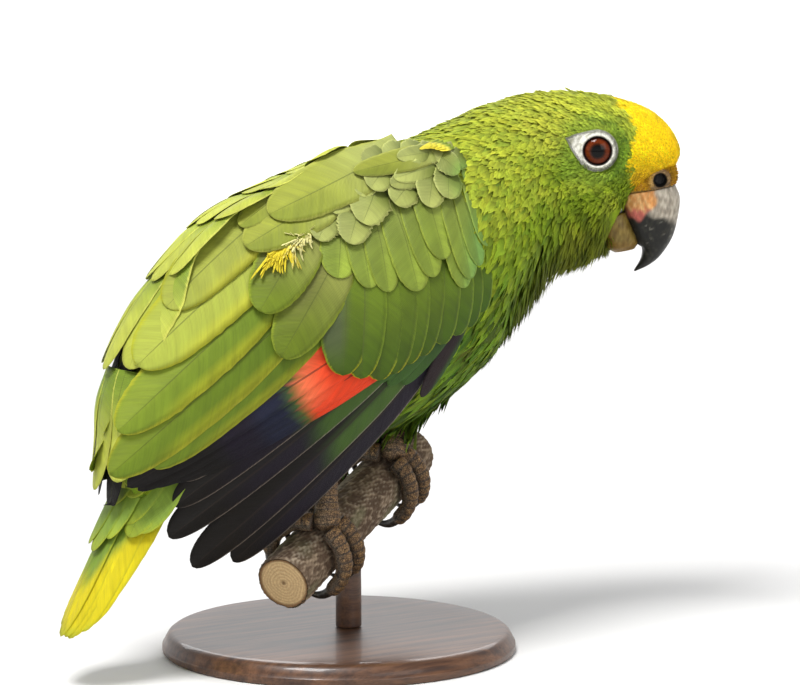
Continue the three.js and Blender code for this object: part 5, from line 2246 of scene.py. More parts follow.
@dataclass(frozen=True)
class Bill:
    """The hooked upper bill, the lower one and the cere between the upper one and the face."""

    upper: tuple[Cut, ...] = (
        Cut((48.2, -10.0), (27.0, -13.4), 10.4), Cut((50.0, -15.0), (27.4, -19.6), 10.0),
        Cut((49.4, -22.0), (30.5, -26.5), 9.0), Cut((47.2, -30.5), (33.3, -32.0), 7.3),
        Cut((42.6, -37.8), (35.3, -35.0), 5.0), Cut((37.8, -41.8), (34.8, -39.3), 2.8),
        Cut((32.7, -44.2), (32.2, -43.8), 0.35),
    )
    lower: tuple[Cut, ...] = (
        Cut((29.6, -20.0), (17.0, -24.0), 8.8), Cut((32.2, -27.0), (18.0, -29.0), 8.9),
        Cut((34.2, -31.6), (21.0, -34.5), 7.2), Cut((32.6, -35.0), (24.5, -36.6), 4.0),
    )
    cere: tuple[Cut, ...] = (
        Cut((46.6, 0.5), (23.0, -6.0), 10.2), Cut((48.2, -4.0), (24.6, -9.6), 11.0),
        Cut((48.5, -7.6), (26.0, -11.8), 11.0), Cut((48.2, -9.6), (27.0, -13.0), 10.5),
    )
    nostril: tuple[float, float] = (41.6, -7.4)
    nostril_radius: float = 2.9
    nostril_depth: float = 3.0
    bristles: int = 5200
    bristle_length: tuple[float, float] = (1.5, 3.4)
    bristle_half: tuple[float, float] = (0.16, 0.32)

    def loft(
        self, sections: tuple[Cut, ...], rows: int, columns: int, full: float, flat_edge: float
    ) -> tuple[Array, Array, Array]:
        """Rings between the sections, in the head's frame.

        Args:
            sections: The cuts that the loft passes through.
            rows: Rings.
            columns: Points in a ring.
            full: How boxy a ring is on its ridge: 1 for an ellipse, and below 1 for fuller sides.
            flat_edge: The same on its edge.

        Returns:
            The points by ring, the share along the bill and the share round it from ridge to edge.
        """
        u = np.linspace(0, 1, rows)
        ridge = curve([[*s.ridge, s.half] for s in sections], u)
        edge = curve([[*s.edge, s.half] for s in sections], u)
        turn = circle(columns)
        lean = 0.5 - 0.5 * np.cos(turn)
        power = full + (flat_edge - full) * fade(0.45, 0.9, lean)
        reach = np.sign(np.sin(turn)) * np.abs(np.sin(turn)) ** power
        flat = ridge[:, None, :2] + (edge - ridge)[:, None, :2] * lean[None, :, None]
        side = ridge[:, None, 2] * reach[None]
        points = np.stack([flat[..., 0], side, flat[..., 1]], -1)
        return points, u[:, None] * np.ones((1, columns)), lean[None] * np.ones((rows, 1))

    def piece(self, name: str, points: Array, stain: Array, material: Material, slot: str) -> Object:
        """Makes one closed loft a piece, in place of the solid of that name.

        Args:
            name: The solid's name.
            points: Its points by ring, in the head's frame.
            stain: A colour for each point.
            material: Its finish.
            slot: Its slot.

        Returns:
            The piece.
        """
        rows, columns = points.shape[:2]
        polygons = [p[:, ::-1] for p in tube_polygons(rows, columns)]
        return stained_piece(f"{name}_horn", from_head(points), polygons, stain, material, slot, name)

    def build(self, horn: Material, skin: Material, down: Material) -> None:
        """Makes both halves of the bill, the cere and the bristles over it.

        Args:
            horn: The bill's finish.
            skin: The cere's finish.
            down: The bristles' finish.
        """
        self.make_upper(horn)
        self.make_lower(horn)
        self.make_cere(skin)
        self.make_bristles(down)

    def make_bristles(self, down: Material) -> None:
        """Short amber bristles that thin out from the forehead down over the cere.

        Args:
            down: Their finish.
        """
        draw = np.random.default_rng(55)
        points, _, lean = self.loft(self.cere, 60, 160, 0.9, 0.6)
        across = unit(np.gradient(points, axis=1))
        down_way = unit(np.gradient(points, axis=0))
        out = unit(np.cross(across, down_way))
        middle = points.mean(1, keepdims=True)
        out *= np.sign(((points - middle) * out).sum(-1, keepdims=True))
        i = (draw.beta(1.0, 1.15, self.bristles) * 58).astype(int)
        j = draw.integers(0, 160, self.bristles)
        root, normal = points[i, j], out[i, j]
        away = root[:, [0, 2]] - self.nostril
        far = np.hypot(away[:, 0], away[:, 1]) / self.nostril_radius
        keep = (far > 1.1) & (lean[i, j] < 0.93)
        root, normal, away, far, i = root[keep], normal[keep], away[keep], far[keep], i[keep]
        way = (
            np.stack([away[:, 0], np.zeros(len(away)), away[:, 1]], 1) / np.maximum(far, 0.3)[:, None] * 0.3
        )
        way = way + [-0.25, 0.0, 0.35] + draw.normal(0, 0.22, (len(root), 3))
        way = unit(way - (way * normal).sum(1)[:, None] * normal + 0.3 * normal)
        length = draw.uniform(*self.bristle_length, len(root)) * fade(66, 5, i) ** 0.5
        side = unit(np.cross(way, normal))
        half = draw.uniform(*self.bristle_half, len(root))
        s = np.array([0.0, 0.5, 1.0])
        curl = (s**2 * 0.25)[None, :, None] * length[:, None, None] * -normal[:, None]
        path = (
            root[:, None] - 0.15 * normal[:, None]
            + way[:, None] * (s[None, :, None] * length[:, None, None]) + curl
        )
        taper = (half[:, None] * np.array([1.0, 0.8, 0.15])[None])[..., None]
        corners = [side[:, None] * taper, normal[:, None] * taper * 0.8, -side[:, None] * taper]
        blades = np.stack([path + corner for corner in corners], 2)
        quads = grid_quads(3, 3, closed=True)[None] + (np.arange(len(root)) * 9)[:, None, None]
        ends = np.array([[2, 1, 0], [6, 7, 8]])[None] + (np.arange(len(root)) * 9)[:, None, None]
        tip = blend(tone(238, 190, 36), tone(190, 124, 26), draw.random(len(root)) * fade(4, 50, i))
        tip = blend(tip, tone(96, 58, 20), fade(2.1, 1.2, far) * 0.6)
        web = blend(
            tone(120, 78, 22), tip[:, None, None], (s[None, :, None] * np.ones((len(root), 3, 3))) ** 0.5
        )
        spot = np.stack([0.01 + 0.02 * i / 60, 0.5 + 0.02 * away[:, 1]], 1)
        bake = spot[:, None] + 0.0015 * np.stack([np.repeat(s, 3), np.tile([-1, 0, 1], 3)], 1)[None]
        vane = (
            np.stack([np.repeat(s, 3) * 0.02, np.tile([0.3, 0.5, 0.7], 3)], 1)[None]
            * np.ones((len(root), 1, 1))
        )
        made = make_piece(
            "cere_bristles", from_head(blades), [quads.reshape(-1, 4), ends.reshape(-1, 3)],
            {"Vane": vane, "OFBake": bake}, {"web": web, "edge": web},
        )
        dress(made, down, "green_feather")

    def make_upper(self, horn: Material) -> None:
        """The upper bill: a coral patch at the base, grey horn in front and a blackish hook.

        Args:
            horn: Its finish.
        """
        points, along, lean = self.loft(self.upper, 72, 96, 0.9, 0.5)
        x, y, z = points[..., 0], points[..., 1], points[..., 2]
        tooth = 0.9 * np.exp(-(((along - 0.5) / 0.09) ** 2)) * fade(0.82, 1.0, lean)
        points[..., 2] -= tooth
        layers = 0.16 * ripple(np.stack([x * 0.2, y * 0.2, z + 0.35 * x], -1), 3.1, 31)
        points[..., 1] *= 1 + 0.012 * layers * fade(0.15, 0.4, along)
        worn = ripple(points, 7.0, 32)
        fine = ripple(points * [1, 1, 0.5], 1.6, 33)
        pale = blend(tone(150, 140, 124), tone(190, 180, 162), fade(-1.2, 1.2, fine + 0.6 * worn))
        dark = blend(tone(16, 15, 9), tone(52, 50, 38), 0.45 * fade(0.0, 1.2, fine + 0.6 * worn))
        grey = blend(dark, tone(96, 92, 78), 0.55 * fade(44, 49, x) * fade(-34, -24, z))
        scratch = fade(0.72, 0.95, ripple(points * [0.5, 0.5, 1.6] + 0.3 * points[..., [2, 0, 1]], 2.3, 34))
        grey = blend(grey, tone(150, 146, 132), 0.4 * scratch * fade(-39, -30, z) * fade(0.0, 0.8, worn))
        line = -21.4 - 0.3 * (x - 38) + 1.3 * worn
        stain = blend(grey, pale, fade(line - 1.6, line + 1.8, z))
        base = blend(tone(216, 146, 78), tone(234, 184, 120), fade(-0.8, 0.9, fine))
        base = blend(base, tone(190, 88, 84), fade(-17.5, -20.5, z + 0.6 * fine) * 0.9)
        patch = np.hypot((x - 33.6) / 6.6, (z + 16.6 - 0.32 * (x - 33.6)) / 6.0) + 0.13 * worn
        stain = blend(stain, base, fade(1.12, 0.82, patch))
        stain = blend(stain, tone(34, 32, 26), fade(0.85, 0.97, lean) * fade(0.0, 0.2, along) * 0.8)
        self.piece("bill_upper", points, stain, horn, "bill_horn")

    def make_lower(self, horn: Material) -> None:
        """The lower bill: pale horn, ochre at its base and its rim.

        Args:
            horn: Its finish.
        """
        points, _, _ = self.loft(self.lower, 48, 80, 0.8, 0.85)
        x, z = points[..., 0], points[..., 2]
        fine = ripple(points * [1, 1, 0.6], 2.2, 41)
        stain = blend(tone(138, 116, 52), tone(114, 90, 32), fade(-1.0, 1.1, fine))
        stain = blend(stain, tone(120, 88, 16), 0.8 * fade(-30.5, -34.0, z))
        stain = blend(stain, tone(104, 62, 22), 0.8 * fade(24.5, 19.5, x + 1.2 * fine))
        stain = blend(stain, tone(70, 60, 30), 0.7 * fade(27.5, 31.5, x + 0.45 * (z + 24)))
        self.piece("bill_lower", points, stain, horn, "bill_horn")

    def make_cere(self, skin: Material) -> None:
        """The cere, with a deep round nostril on each side inside a soft rim.

        Args:
            skin: Its finish.
        """
        points, _, _ = self.loft(self.cere, 90, 240, 0.9, 0.6)
        x, y, z = points[..., 0], points[..., 1], points[..., 2]
        far = np.hypot(x - self.nostril[0], z - self.nostril[1]) / self.nostril_radius
        far = np.where(np.abs(y) > 4, far, 9.0)
        pit = fade(1.05, 0.55, far)
        rim = np.exp(-(((far - 1.3) / 0.26) ** 2))
        points[..., 1] = y - np.sign(y) * (self.nostril_depth * pit - 0.5 * rim)
        fine = ripple(points, 1.3, 51)
        stain = blend(tone(128, 98, 56), tone(170, 136, 84), fade(-0.7, 0.8, fine))
        stain = blend(stain, tone(222, 170, 44), 0.85 * fade(41, 36, x + 0.4 * fine))
        stain = blend(stain, tone(202, 168, 122), 0.35 * rim * fade(-6, -9, z))
        stain = blend(stain, tone(70, 50, 30), fade(-9.2, -10.6, z - 0.3 * (x - 38)) * 0.6)
        # Painted shade: the nostril's pit is painted near black.
        stain = blend(stain, tone(8, 7, 6), fade(1.12, 0.86, far))
        self.piece("cere", points, stain, skin, "cere")


@dataclass(frozen=True)
class Eyes:
    """Both eyes: a glossy painted ball, deep in a ring of bare wrinkled skin."""

    place: EyePlace
    skin: Skin

    def build(self, ball: Material, bare: Material) -> None:
        """Makes an eyeball and a ring on each side of the head.

        Args:
            ball: The balls' finish.
            bare: The rings' finish.
        """
        for side in Side:
            self.ball(side, ball)
            self.ring(side, bare)

    def ball(self, side: Side, material: Material) -> None:
        """One eyeball, painted by how far each point is from its axis.

        Args:
            side: The side of the head.
            material: The painted, glossy finish.
        """
        eye, rows, columns = self.place, 72, 96
        angle = np.linspace(0.004, 0.75 * math.pi, rows)
        turn = circle(columns)
        far = eye.ball * np.sin(angle)[:, None] * np.ones((1, columns))
        depth = eye.ball * np.cos(angle)[:, None] * np.ones((1, columns))
        x, z = eye.x + far * np.cos(turn), eye.z + far * np.sin(turn)
        y = side.value * (eye.out + depth)
        points = np.stack([x, y, z], -1)
        rays = (
            ripple(np.stack([np.cos(turn) * 9, np.sin(turn) * 9], -1), 1.4, 61)[None] * np.ones((rows, 1))
        )
        iris = blend(tone(42, 18, 6), tone(100, 40, 12), fade(eye.pupil + 0.3, eye.iris - 1.3, far))
        iris = iris * (1 + 0.16 * rays)[..., None]
        iris = blend(iris, tone(70, 24, 10), fade(eye.iris - 0.7, eye.iris, far))
        stain = blend(iris, tone(5, 4, 4), fade(eye.pupil + 0.35, eye.pupil - 0.15, far))
        stain = blend(stain, tone(16, 10, 9), fade(eye.iris - 0.2, eye.iris + 0.3, far) * (depth > 0))
        stain = np.where((depth > 0)[..., None], stain, tone(16, 10, 9))
        polygons = tube_polygons(rows, columns)
        if side is Side.LEFT:
            polygons = [p[:, ::-1] for p in polygons]
        stained_piece(
            f"eyeball_{side.word}", from_head(points), polygons, stain, material, "eye", f"eye_{side.word}"
        )

    def ring(self, side: Side, material: Material) -> None:
        """One ring of bare skin: lid margin, groove, folded skin and its seam under the feathers, with
        painted shade in its folds and a painted shadow of the feathers along its edge.

        Args:
            side: The side of the head.
            material: The bare skin's finish.
        """
        eye, columns = self.place, 180
        turn = circle(columns)
        share = np.concatenate([[0, 0.0, 0.02, 0.05, 0.1, 0.15, 0.2], np.linspace(0.26, 1.0, 22)])
        reach = eye.ring_reach(turn) + 0.9
        far = eye.opening + (reach - eye.opening)[None] * share[:, None]
        far[0] -= 0.1
        x, z = eye.x + far * np.cos(turn), eye.z + far * np.sin(turn)
        outer = self.surface(side, x, z)
        margin = eye.out + math.sqrt(eye.ball**2 - eye.opening**2)
        lid = margin + 0.15 + 1.15 * fade(5.35, 6.15, far) - 0.25 * fade(6.25, 6.85, far)
        y = lid + (outer + 0.75 - lid) * fade(6.45, 8.05, far)
        swirl = ripple(np.stack([3 * np.cos(turn), 3 * np.sin(turn)], -1), 1.1, 73) + 0.4 * np.sin(5 * turn)
        folds = np.sin(
            (far - 6.2) * 2 * math.pi / 0.6 + 2.2 * swirl + 1.2 * ripple(np.stack([x, z], -1), 1.7, 74)
        )
        beads = np.sin(turn * 44) * np.exp(-(((far - 5.95) / 0.3) ** 2))
        y = y + 0.09 * folds * fade(6.25, 7.05, far) * fade(reach + 0.2, reach - 1.2, far) + 0.14 * beads
        y[0] -= 2.0
        points = np.stack([x, y * side.value, z], -1)
        back = points.copy()
        back[..., 1] -= side.value * 1.6
        rows = len(share)
        cloud = ripple(points, 2.6, 71)
        stain = blend(tone(222, 220, 208), tone(180, 178, 162), fade(0.0, 1.2, cloud))
        # Painted shade in the creases between the folds.
        stain = blend(
            stain, tone(92, 86, 74),
            0.5 * fade(-0.6, -1.0, folds) * fade(0.0, 0.6, cloud + 0.3) * fade(6.45, 7.25, far),
        )
        dark = fade(5.95, 5.6, far)
        stain = blend(stain, tone(44, 36, 32), dark)
        stain = blend(stain, tone(170, 160, 150), dark * fade(0.25, 0.9, beads))
        corner = np.exp(-((((np.degrees(turn) - eye.corner_turn + 180) % 360 - 180) / 22) ** 2))
        stain = blend(stain, tone(110, 110, 84), 0.75 * (corner * fade(9.0, 11.5, far)))
        # Painted shadow: a dark ragged band just inside the outer edge, where the feathers overhang the
        # ring.
        ragged = far + 0.4 * ripple(points, 0.7, 75)
        stain = blend(stain, tone(60, 60, 46), 0.75 * fade(reach - 1.35, reach - 0.75, ragged))
        stain = blend(stain, tone(130, 150, 50), 0.9 * fade(reach - 0.35, reach + 0.3, far))
        both = np.concatenate([points.reshape(-1, 3), back.reshape(-1, 3)])
        top = grid_quads(rows, columns, closed=True)
        under = top[:, ::-1] + rows * columns
        j = np.arange(columns)
        k = (j + 1) % columns
        inner = np.stack([j, j + rows * columns, k + rows * columns, k], 1)
        last = (rows - 1) * columns
        rim = np.stack([last + j, last + k, last + k + rows * columns, last + j + rows * columns], 1)
        quads = np.vstack([top, under, inner, rim])
        if side is Side.LEFT:
            quads = quads[:, ::-1]
        stain = np.tile(stain.reshape(-1, 3), (2, 1))
        stained_piece(
            f"eye_ring_{side.word}", from_head(both), [quads], stain, material, "bare_skin",
            f"eyelid_{side.word}",
        )

    def surface(self, side: Side, x: Array, z: Array) -> Array:
        """How far out the skin is at places beside the eye.

        Args:
            side: The side of the head.
            x: How far forward the places are.
            z: How high they are.

        Returns:
            Distances from the head's middle plane.
        """
        starts = from_head(np.stack([x, np.full_like(x, 40.0 * side.value), z], -1).reshape(-1, 3))
        inward = Vector((from_head([[0, -side.value, 0]])[0] - HEAD_AT).tolist())
        reached = []
        for start in starts.tolist():
            hit = self.skin.tree.ray_cast(Vector(start), inward, 60.0)
            reached.append(40.0 - hit[3] if hit[0] is not None else 12.0)
        return np.array(reached).reshape(x.shape)


# ------------------------------------------------------------------ feet, perch and stand

PERCH_FAR = np.array([29.0, 15.0, 60.5])
PERCH_NEAR = np.array([-19.0, -13.0, 42.5])
PERCH_RADIUS = 11.0
PERCH_OVERHANG = 26.0
PERCH_WAY = unit(PERCH_NEAR - PERCH_FAR)
PERCH_FRONT = unit(np.array([1.0, 0.0, 0.0]) - PERCH_WAY[0] * PERCH_WAY)
PERCH_UP = np.cross(PERCH_WAY, PERCH_FRONT)
PERCH_UP = PERCH_UP * np.sign(PERCH_UP[2])


def round_perch(centre: Array, degrees: Array, distance: Array, shift: Array) -> Array:
    """Places round the perch.

    Args:
        centre: A point of its middle line.
        degrees: Angles, 0 on top and positive towards the bird's front.
        distance: How far each place is from the middle line.
        shift: How far each is along the perch.

    Returns:
        The points.
    """
    turn = np.radians(degrees)[..., None]
    lean = np.cos(turn) * PERCH_UP + np.sin(turn) * PERCH_FRONT
    return centre + lean * np.asarray(distance)[..., None] + np.asarray(shift)[..., None] * PERCH_WAY


@dataclass(frozen=True)
class ToePlace:
    """One toe: the angles that it spans round the perch, and how far along it root and end are."""

    name: str
    start: float
    end: float
    root_shift: float
    end_shift: float


@dataclass(frozen=True)
class Feet:
    """Both feet: two toes in front of the perch and two behind, a palm and a scaled shank."""

    toes: tuple[ToePlace, ...] = (
        ToePlace("front_inner", 14, 108, -3.9, -7.5), ToePlace("front_outer", 14, 122, 3.9, 6.5),
        ToePlace("rear_inner", -14, -84, -3.9, -7.0), ToePlace("rear_outer", -14, -112, 3.9, 7.5),
    )
    toe_radius: float = 3.6
    palm_radius: float = 5.2
    gap: float = 0.3
    scute: float = 3.1
    claw_turn: float = 49.0
    claw_inset: float = 3.0
    claw_slim: float = 0.8
    claw_radii: tuple = ((0, 2.0), (0.1, 1.95), (0.4, 1.65), (0.75, 1.05), (0.97, 0.35), (1, 0.08))
    shank_radii: tuple = ((0, 0.5), (0.5, 2.4), (2.2, 4.6), (5.0, 5.3), (8.0, 4.8), (12.0, 4.2))
    shank_slim: float = 4.0
    knees: tuple[Point, Point] = ((35.0, 15.0, 89.0), (-16.0, -17.0, 86.0))

    def build(self, scales: Material, horn: Material) -> None:
        """Makes toes, claws and shanks.

        Args:
            scales: The finish of toes and shanks.
            horn: The claws' finish.
        """
        for side, centre, knee in zip(Side, (PERCH_FAR, PERCH_NEAR), self.knees):
            for i, toe in enumerate(self.toes):
                self.toe(side, centre, toe, scales)
                self.claw(side, centre, toe, horn, i)
            self.shank(side, centre, np.array(knee), scales)

    def toe(self, side: Side, centre: Array, toe: ToePlace, material: Material) -> None:
        """One toe with scutes on its back and pads on its sole.

        Args:
            side: The foot.
            centre: The perch's middle under the foot.
            toe: The toe.
            material: The scales' finish.
        """
        rows, columns = 90, 40
        t = np.linspace(0, 1, rows)
        degrees = toe.start + (toe.end - toe.start) * t
        shift = toe.root_shift + (toe.end_shift - toe.root_shift) * t
        reach = PERCH_RADIUS + self.toe_radius + self.gap
        length = math.radians(abs(toe.end - toe.start)) * reach
        path = round_perch(centre, degrees, np.full(rows, reach), shift)
        outward = unit(round_perch(np.zeros(3), degrees, np.ones(rows), np.zeros(rows)))
        turn = circle(columns)
        back = np.clip(np.cos(turn), 0, 1)[None]
        sole = np.clip(-np.cos(turn), 0, 1)[None]
        run = (t * length)[:, None]
        scute = np.abs(np.sin(run * math.pi / self.scute))
        joint = np.sin(run * 2 * math.pi / (length / 2.6))
        radius = self.toe_radius * (1 - 0.2 * t**1.5)[:, None] * fade(1.06, 0.93, t)[:, None] ** 0.35
        radius = radius * (0.93 + 0.09 * scute * back**0.5 + 0.05 * joint * sole + 0.02 * joint)
        way = unit(np.gradient(path, axis=0))
        points = rings_round(path, outward, np.cross(way, outward), radius)
        stain = self.tones(points, scute * back**0.4 + 0.5 * sole, back)
        polygons = turned_out(tube_polygons(rows, columns), points)
        name = f"{side.word}_{toe.name}"
        stained_piece(f"scaled_toe_{name}", points, polygons, stain, material, "foot_scale", f"toe_{name}")

    def tones(self, points: Array, raised: Array, back: Array) -> Array:
        """Grey scales, darker in their grooves and paler on the sole.

        Args:
            points: The points by ring.
            raised: How high each stands on its scale.
            back: How much each faces up.

        Returns:
            A colour for each point.
        """
        flat = points.reshape(-1, 3)
        fine = ripple(flat, 2.1, 81)
        scale = blend(tone(112, 80, 44), tone(156, 118, 70), fade(-0.8, 0.9, fine))
        ridge = np.broadcast_to(raised, points.shape[:2]).reshape(-1)
        stain = blend(tone(56, 44, 32), scale, fade(0.05, 0.5, ridge))
        return blend(
            stain, tone(140, 126, 108), 0.4 * (1 - np.broadcast_to(back, points.shape[:2]).reshape(-1))
        )

    def claw(self, side: Side, centre: Array, toe: ToePlace, material: Material, seed: int) -> None:
        """One curved claw.

        Args:
            side: The foot.
            centre: The perch's middle under the foot.
            toe: The toe that it ends.
            material: The dark horn.
            seed: Picks its mottling.
        """
        rows, columns = 40, 28
        t = np.linspace(0, 1, rows)
        forward = math.copysign(1.0, toe.end)
        reach = PERCH_RADIUS + self.toe_radius + self.gap
        degrees = toe.end + forward * (-self.claw_inset + self.claw_turn * t)
        distance = reach + 1.2 * np.sin(math.pi * t) - 1.4 * t
        path = round_perch(centre, degrees, distance, np.full(rows, toe.end_shift))
        outward = unit(path - centre - ((path - centre) @ PERCH_WAY)[:, None] * PERCH_WAY)
        across = self.claw_slim * np.cross(unit(np.gradient(path, axis=0)), outward)
        radius = np.interp(t, *zip(*self.claw_radii))[:, None] * np.ones((1, columns))
        points = rings_round(path, outward, across, radius)
        fine = ripple(points.reshape(-1, 3), 3.0, seed)
        stain = blend(tone(40, 36, 32), tone(84, 78, 70), fade(-0.5, 1.2, fine) * 0.6)
        stain = blend(stain, tone(110, 100, 88), 0.5 * fade(0.2, 0.0, np.repeat(t, columns)))
        polygons = turned_out(tube_polygons(rows, columns), points)
        name = f"{side.word}_{toe.name}"
        stained_piece(f"horn_claw_{name}", points, polygons, stain, material, "claw", f"claw_{name}")

    def shank(self, side: Side, centre: Array, knee: Array, material: Material) -> None:
        """The palm and the short shank above it.

        Args:
            side: The leg.
            centre: The perch's middle under the foot.
            knee: The upper end of the bare shank.
            material: The scales' finish.
        """
        ankle = round_perch(
            centre, np.array(0.0), np.array(PERCH_RADIUS + self.palm_radius + self.gap), np.array(0.0)
        )
        low = ankle - 4.9 * unit(knee - ankle)
        rows, columns = 60, 44
        t = np.linspace(0, 1, rows)
        top = ankle + (knee - ankle) * 0.85
        path = low + (top - low) * t[:, None]
        turn = circle(columns)
        length = float(np.linalg.norm(top - low))
        radius = np.interp(t * length, *zip(*self.shank_radii, (length, self.shank_slim)))
        plates = np.abs(np.sin(np.linspace(0, length, rows) * math.pi / 2.7))[:, None]
        points = tube(path, radius[:, None] * (0.95 + 0.06 * plates * np.ones((1, columns))), PERCH_FRONT)
        stain = self.tones(points, plates * np.ones((1, columns)), np.clip(np.cos(turn), 0, 1)[None])
        polygons = turned_out(tube_polygons(rows, columns), points)
        name = side.word
        stained_piece(
            f"scaled_shank_{name}", points, polygons, stain, material, "foot_scale", f"shank_{name}"
        )


@dataclass(frozen=True)
class Stand:
    """The cut branch, and the turned wooden stand that holds it."""

    rod_radius: float = 5.0
    base_radius: float = 68.0
    base_thick: float = 8.0
    joint: Point = (5.0, 1.0, 51.5)
    cut_depth: float = 0.25
    ring_pitch: float = 1.25
    knots: tuple[Point, ...] = ((12.0, 0.9, 4.5), (84.0, 2.6, 5.5), (60.0, 4.4, 4.0))

    def build(self, bark: Material, cut: Material, wood: Material) -> None:
        """Makes the perch, its pale cut ends, the rod and the base.

        Args:
            bark: The bark.
            cut: The sawn wood.
            wood: The turned wood.
        """
        self.perch(bark, cut)
        self.rod(wood)
        self.base(wood)

    def perch(self, bark: Material, cut: Material) -> None:
        """A branch with ridged bark, slightly bent and knotted, sawn at both ends.

        Args:
            bark: The bark.
            cut: The sawn wood.
        """
        rows, columns = 260, 160
        t = np.linspace(0, 1, rows)
        start = PERCH_FAR - PERCH_OVERHANG * PERCH_WAY
        end = PERCH_NEAR + PERCH_OVERHANG * PERCH_WAY
        path = start + (end - start) * t[:, None]
        turn = circle(columns)
        run = t * float(np.linalg.norm(end - start))
        around = np.stack(
            [
                np.repeat(run[:, None], columns, 1) * 0.22, np.tile(np.cos(turn) * PERCH_RADIUS, (rows, 1)),
                np.tile(np.sin(turn) * PERCH_RADIUS, (rows, 1)),
            ],
            -1,
        )
        broad, ridges, fine = ripple(around, 17.0, 91), ripple(around, 4.0, 92), ripple(
            around * [2.5, 1, 1], 1.6, 93
        )
        knots = np.zeros((rows, columns))
        for place, angle, size in self.knots:
            off = (turn - angle + math.pi) % (2 * math.pi) - math.pi
            far = np.hypot(run[:, None] - place, off[None] * PERCH_RADIUS) / size
            knots += 0.9 * np.exp(-(((far - 0.55) / 0.3) ** 2)) - 0.5 * np.exp(-((far / 0.3) ** 2))
        cracks = -np.abs(ridges) ** 0.5
        relief = 0.22 * broad + 0.42 * cracks + 0.14 * fine + knots
        edge = np.minimum(run, run[-1] - run)[:, None]
        radius = (PERCH_RADIUS - 0.15 + relief * 0.9) * (1 - 0.035 * fade(0.9, 0.0, edge))
        rings = tube(path, radius, PERCH_UP)
        shade = fade(-0.9, 0.25, cracks + 0.3 * fine)
        stain = blend(tone(92, 74, 58), tone(158, 138, 114), shade)
        stain = blend(stain, tone(176, 162, 140), 0.6 * fade(0.3, 1.2, broad + 0.4 * fine))
        stain = blend(stain, tone(112, 120, 84), 0.35 * fade(0.5, 1.3, ripple(around, 9.0, 94)))
        polygons = turned_out([grid_quads(rows, columns, closed=True)], rings)
        stained_piece("perch_bark", rings, polygons, stain, bark, "bark", "perch")
        share = np.linspace(0.97, 0.0, 26)[:, None, None]
        for index, row, outward in ((0, 0, -PERCH_WAY), (1, rows - 1, PERCH_WAY)):
            centre = rings[row].mean(0)
            disk = (
                centre + (rings[row] - centre)[None] * share
                - self.cut_depth * outward * fade(1.0, 0.9, share)
            )
            self.cut_end(index, disk, outward, cut)

    def cut_end(self, index: int, disk: Array, outward: Array, cut: Material) -> None:
        """One sawn end, with its bark edge, rings and a crack or two.

        Args:
            index: Which end.
            disk: Rings of points from the bark to the pith.
            outward: The way that it faces.
            cut: Its finish.
        """
        rows, columns = disk.shape[:2]
        centre = disk[-1].mean(0)
        far = np.linalg.norm(disk - centre, axis=-1)
        wobble = ripple(disk, 9.0, 101 + index)
        rings = 0.5 + 0.5 * np.sin((far + 0.35 * wobble) * 2 * math.pi / self.ring_pitch)
        stain = blend(tone(206, 178, 132), tone(172, 138, 92), rings * 0.75)
        stain = blend(stain, tone(120, 88, 56), fade(8.6, 9.6, far))
        stain = blend(stain, tone(120, 92, 60), fade(1.2, 0.5, far))
        quads = grid_quads(rows, columns, closed=True)
        corner, across, along = disk[4, 0], disk[4, 1], disk[5, 0]
        if np.cross(across - corner, along - corner) @ outward < 0:
            quads = quads[:, ::-1]
        stained_piece(f"perch_cut_{index}", disk, [quads], stain, cut, "bark")

    def turned(
        self, name: str, profile: list[tuple[float, float]], centre: tuple[float, float], columns: int
    ) -> Object:
        """A turned piece.

        Args:
            name: Its name.
            profile: Radius and height from its foot to its top, with a radius of 0 at neither end.
            centre: Where its axis stands.
            columns: Points round it.

        Returns:
            The piece.
        """
        turn = circle(columns)
        rings = [
            np.stack([centre[0] + r * np.cos(turn), centre[1] + r * np.sin(turn), np.full(columns, z)], -1)
            for r, z in profile
        ]
        points = np.array(rings)
        polygons = tube_polygons(len(profile), columns)
        made = make_piece(name, points, turned_out(polygons, points))
        bevel = made.modifiers.new("soft edges", "BEVEL")
        bevel.width = 0.35 * MM
        bevel.segments = 2
        bevel.limit_method = "ANGLE"
        return made

    def rod(self, wood: Material) -> None:
        """The rod from the base up into the perch, with a small collar at its foot.

        Args:
            wood: Its finish.
        """
        r, top = self.rod_radius, self.joint[2] - 6.0
        low = self.base_thick + 0.3
        profile = [(r, low), (r, low + 0.6), (r, low + 4.0), (r * 0.97, top - 6), (r * 0.94, top)]
        dress(self.turned("turned_rod", profile, self.joint[:2], 72), wood, "stand", "stand_rod")

    def base(self, wood: Material) -> None:
        """The round base, with a bead round its edge.

        Args:
            wood: Its finish.
        """
        r, h = self.base_radius, self.base_thick
        cove = [
            (r - 0.7, 0.0), (r, 0.7), (r, 3.0), (r - 0.6, 3.6), (r - 1.0, 4.6), (r - 2.1, 6.6),
            (r - 3.4, 7.6), (r - 5.0, h),
        ]
        inner = [(r - 16, h), (r - 30, h), (r - 50, h), (6.0, h)]
        dress(self.turned("turned_base", cove + inner, (0.0, 0.0), 160), wood, "stand", "stand_base")


# ------------------------------------------------------------------ finishes and studio


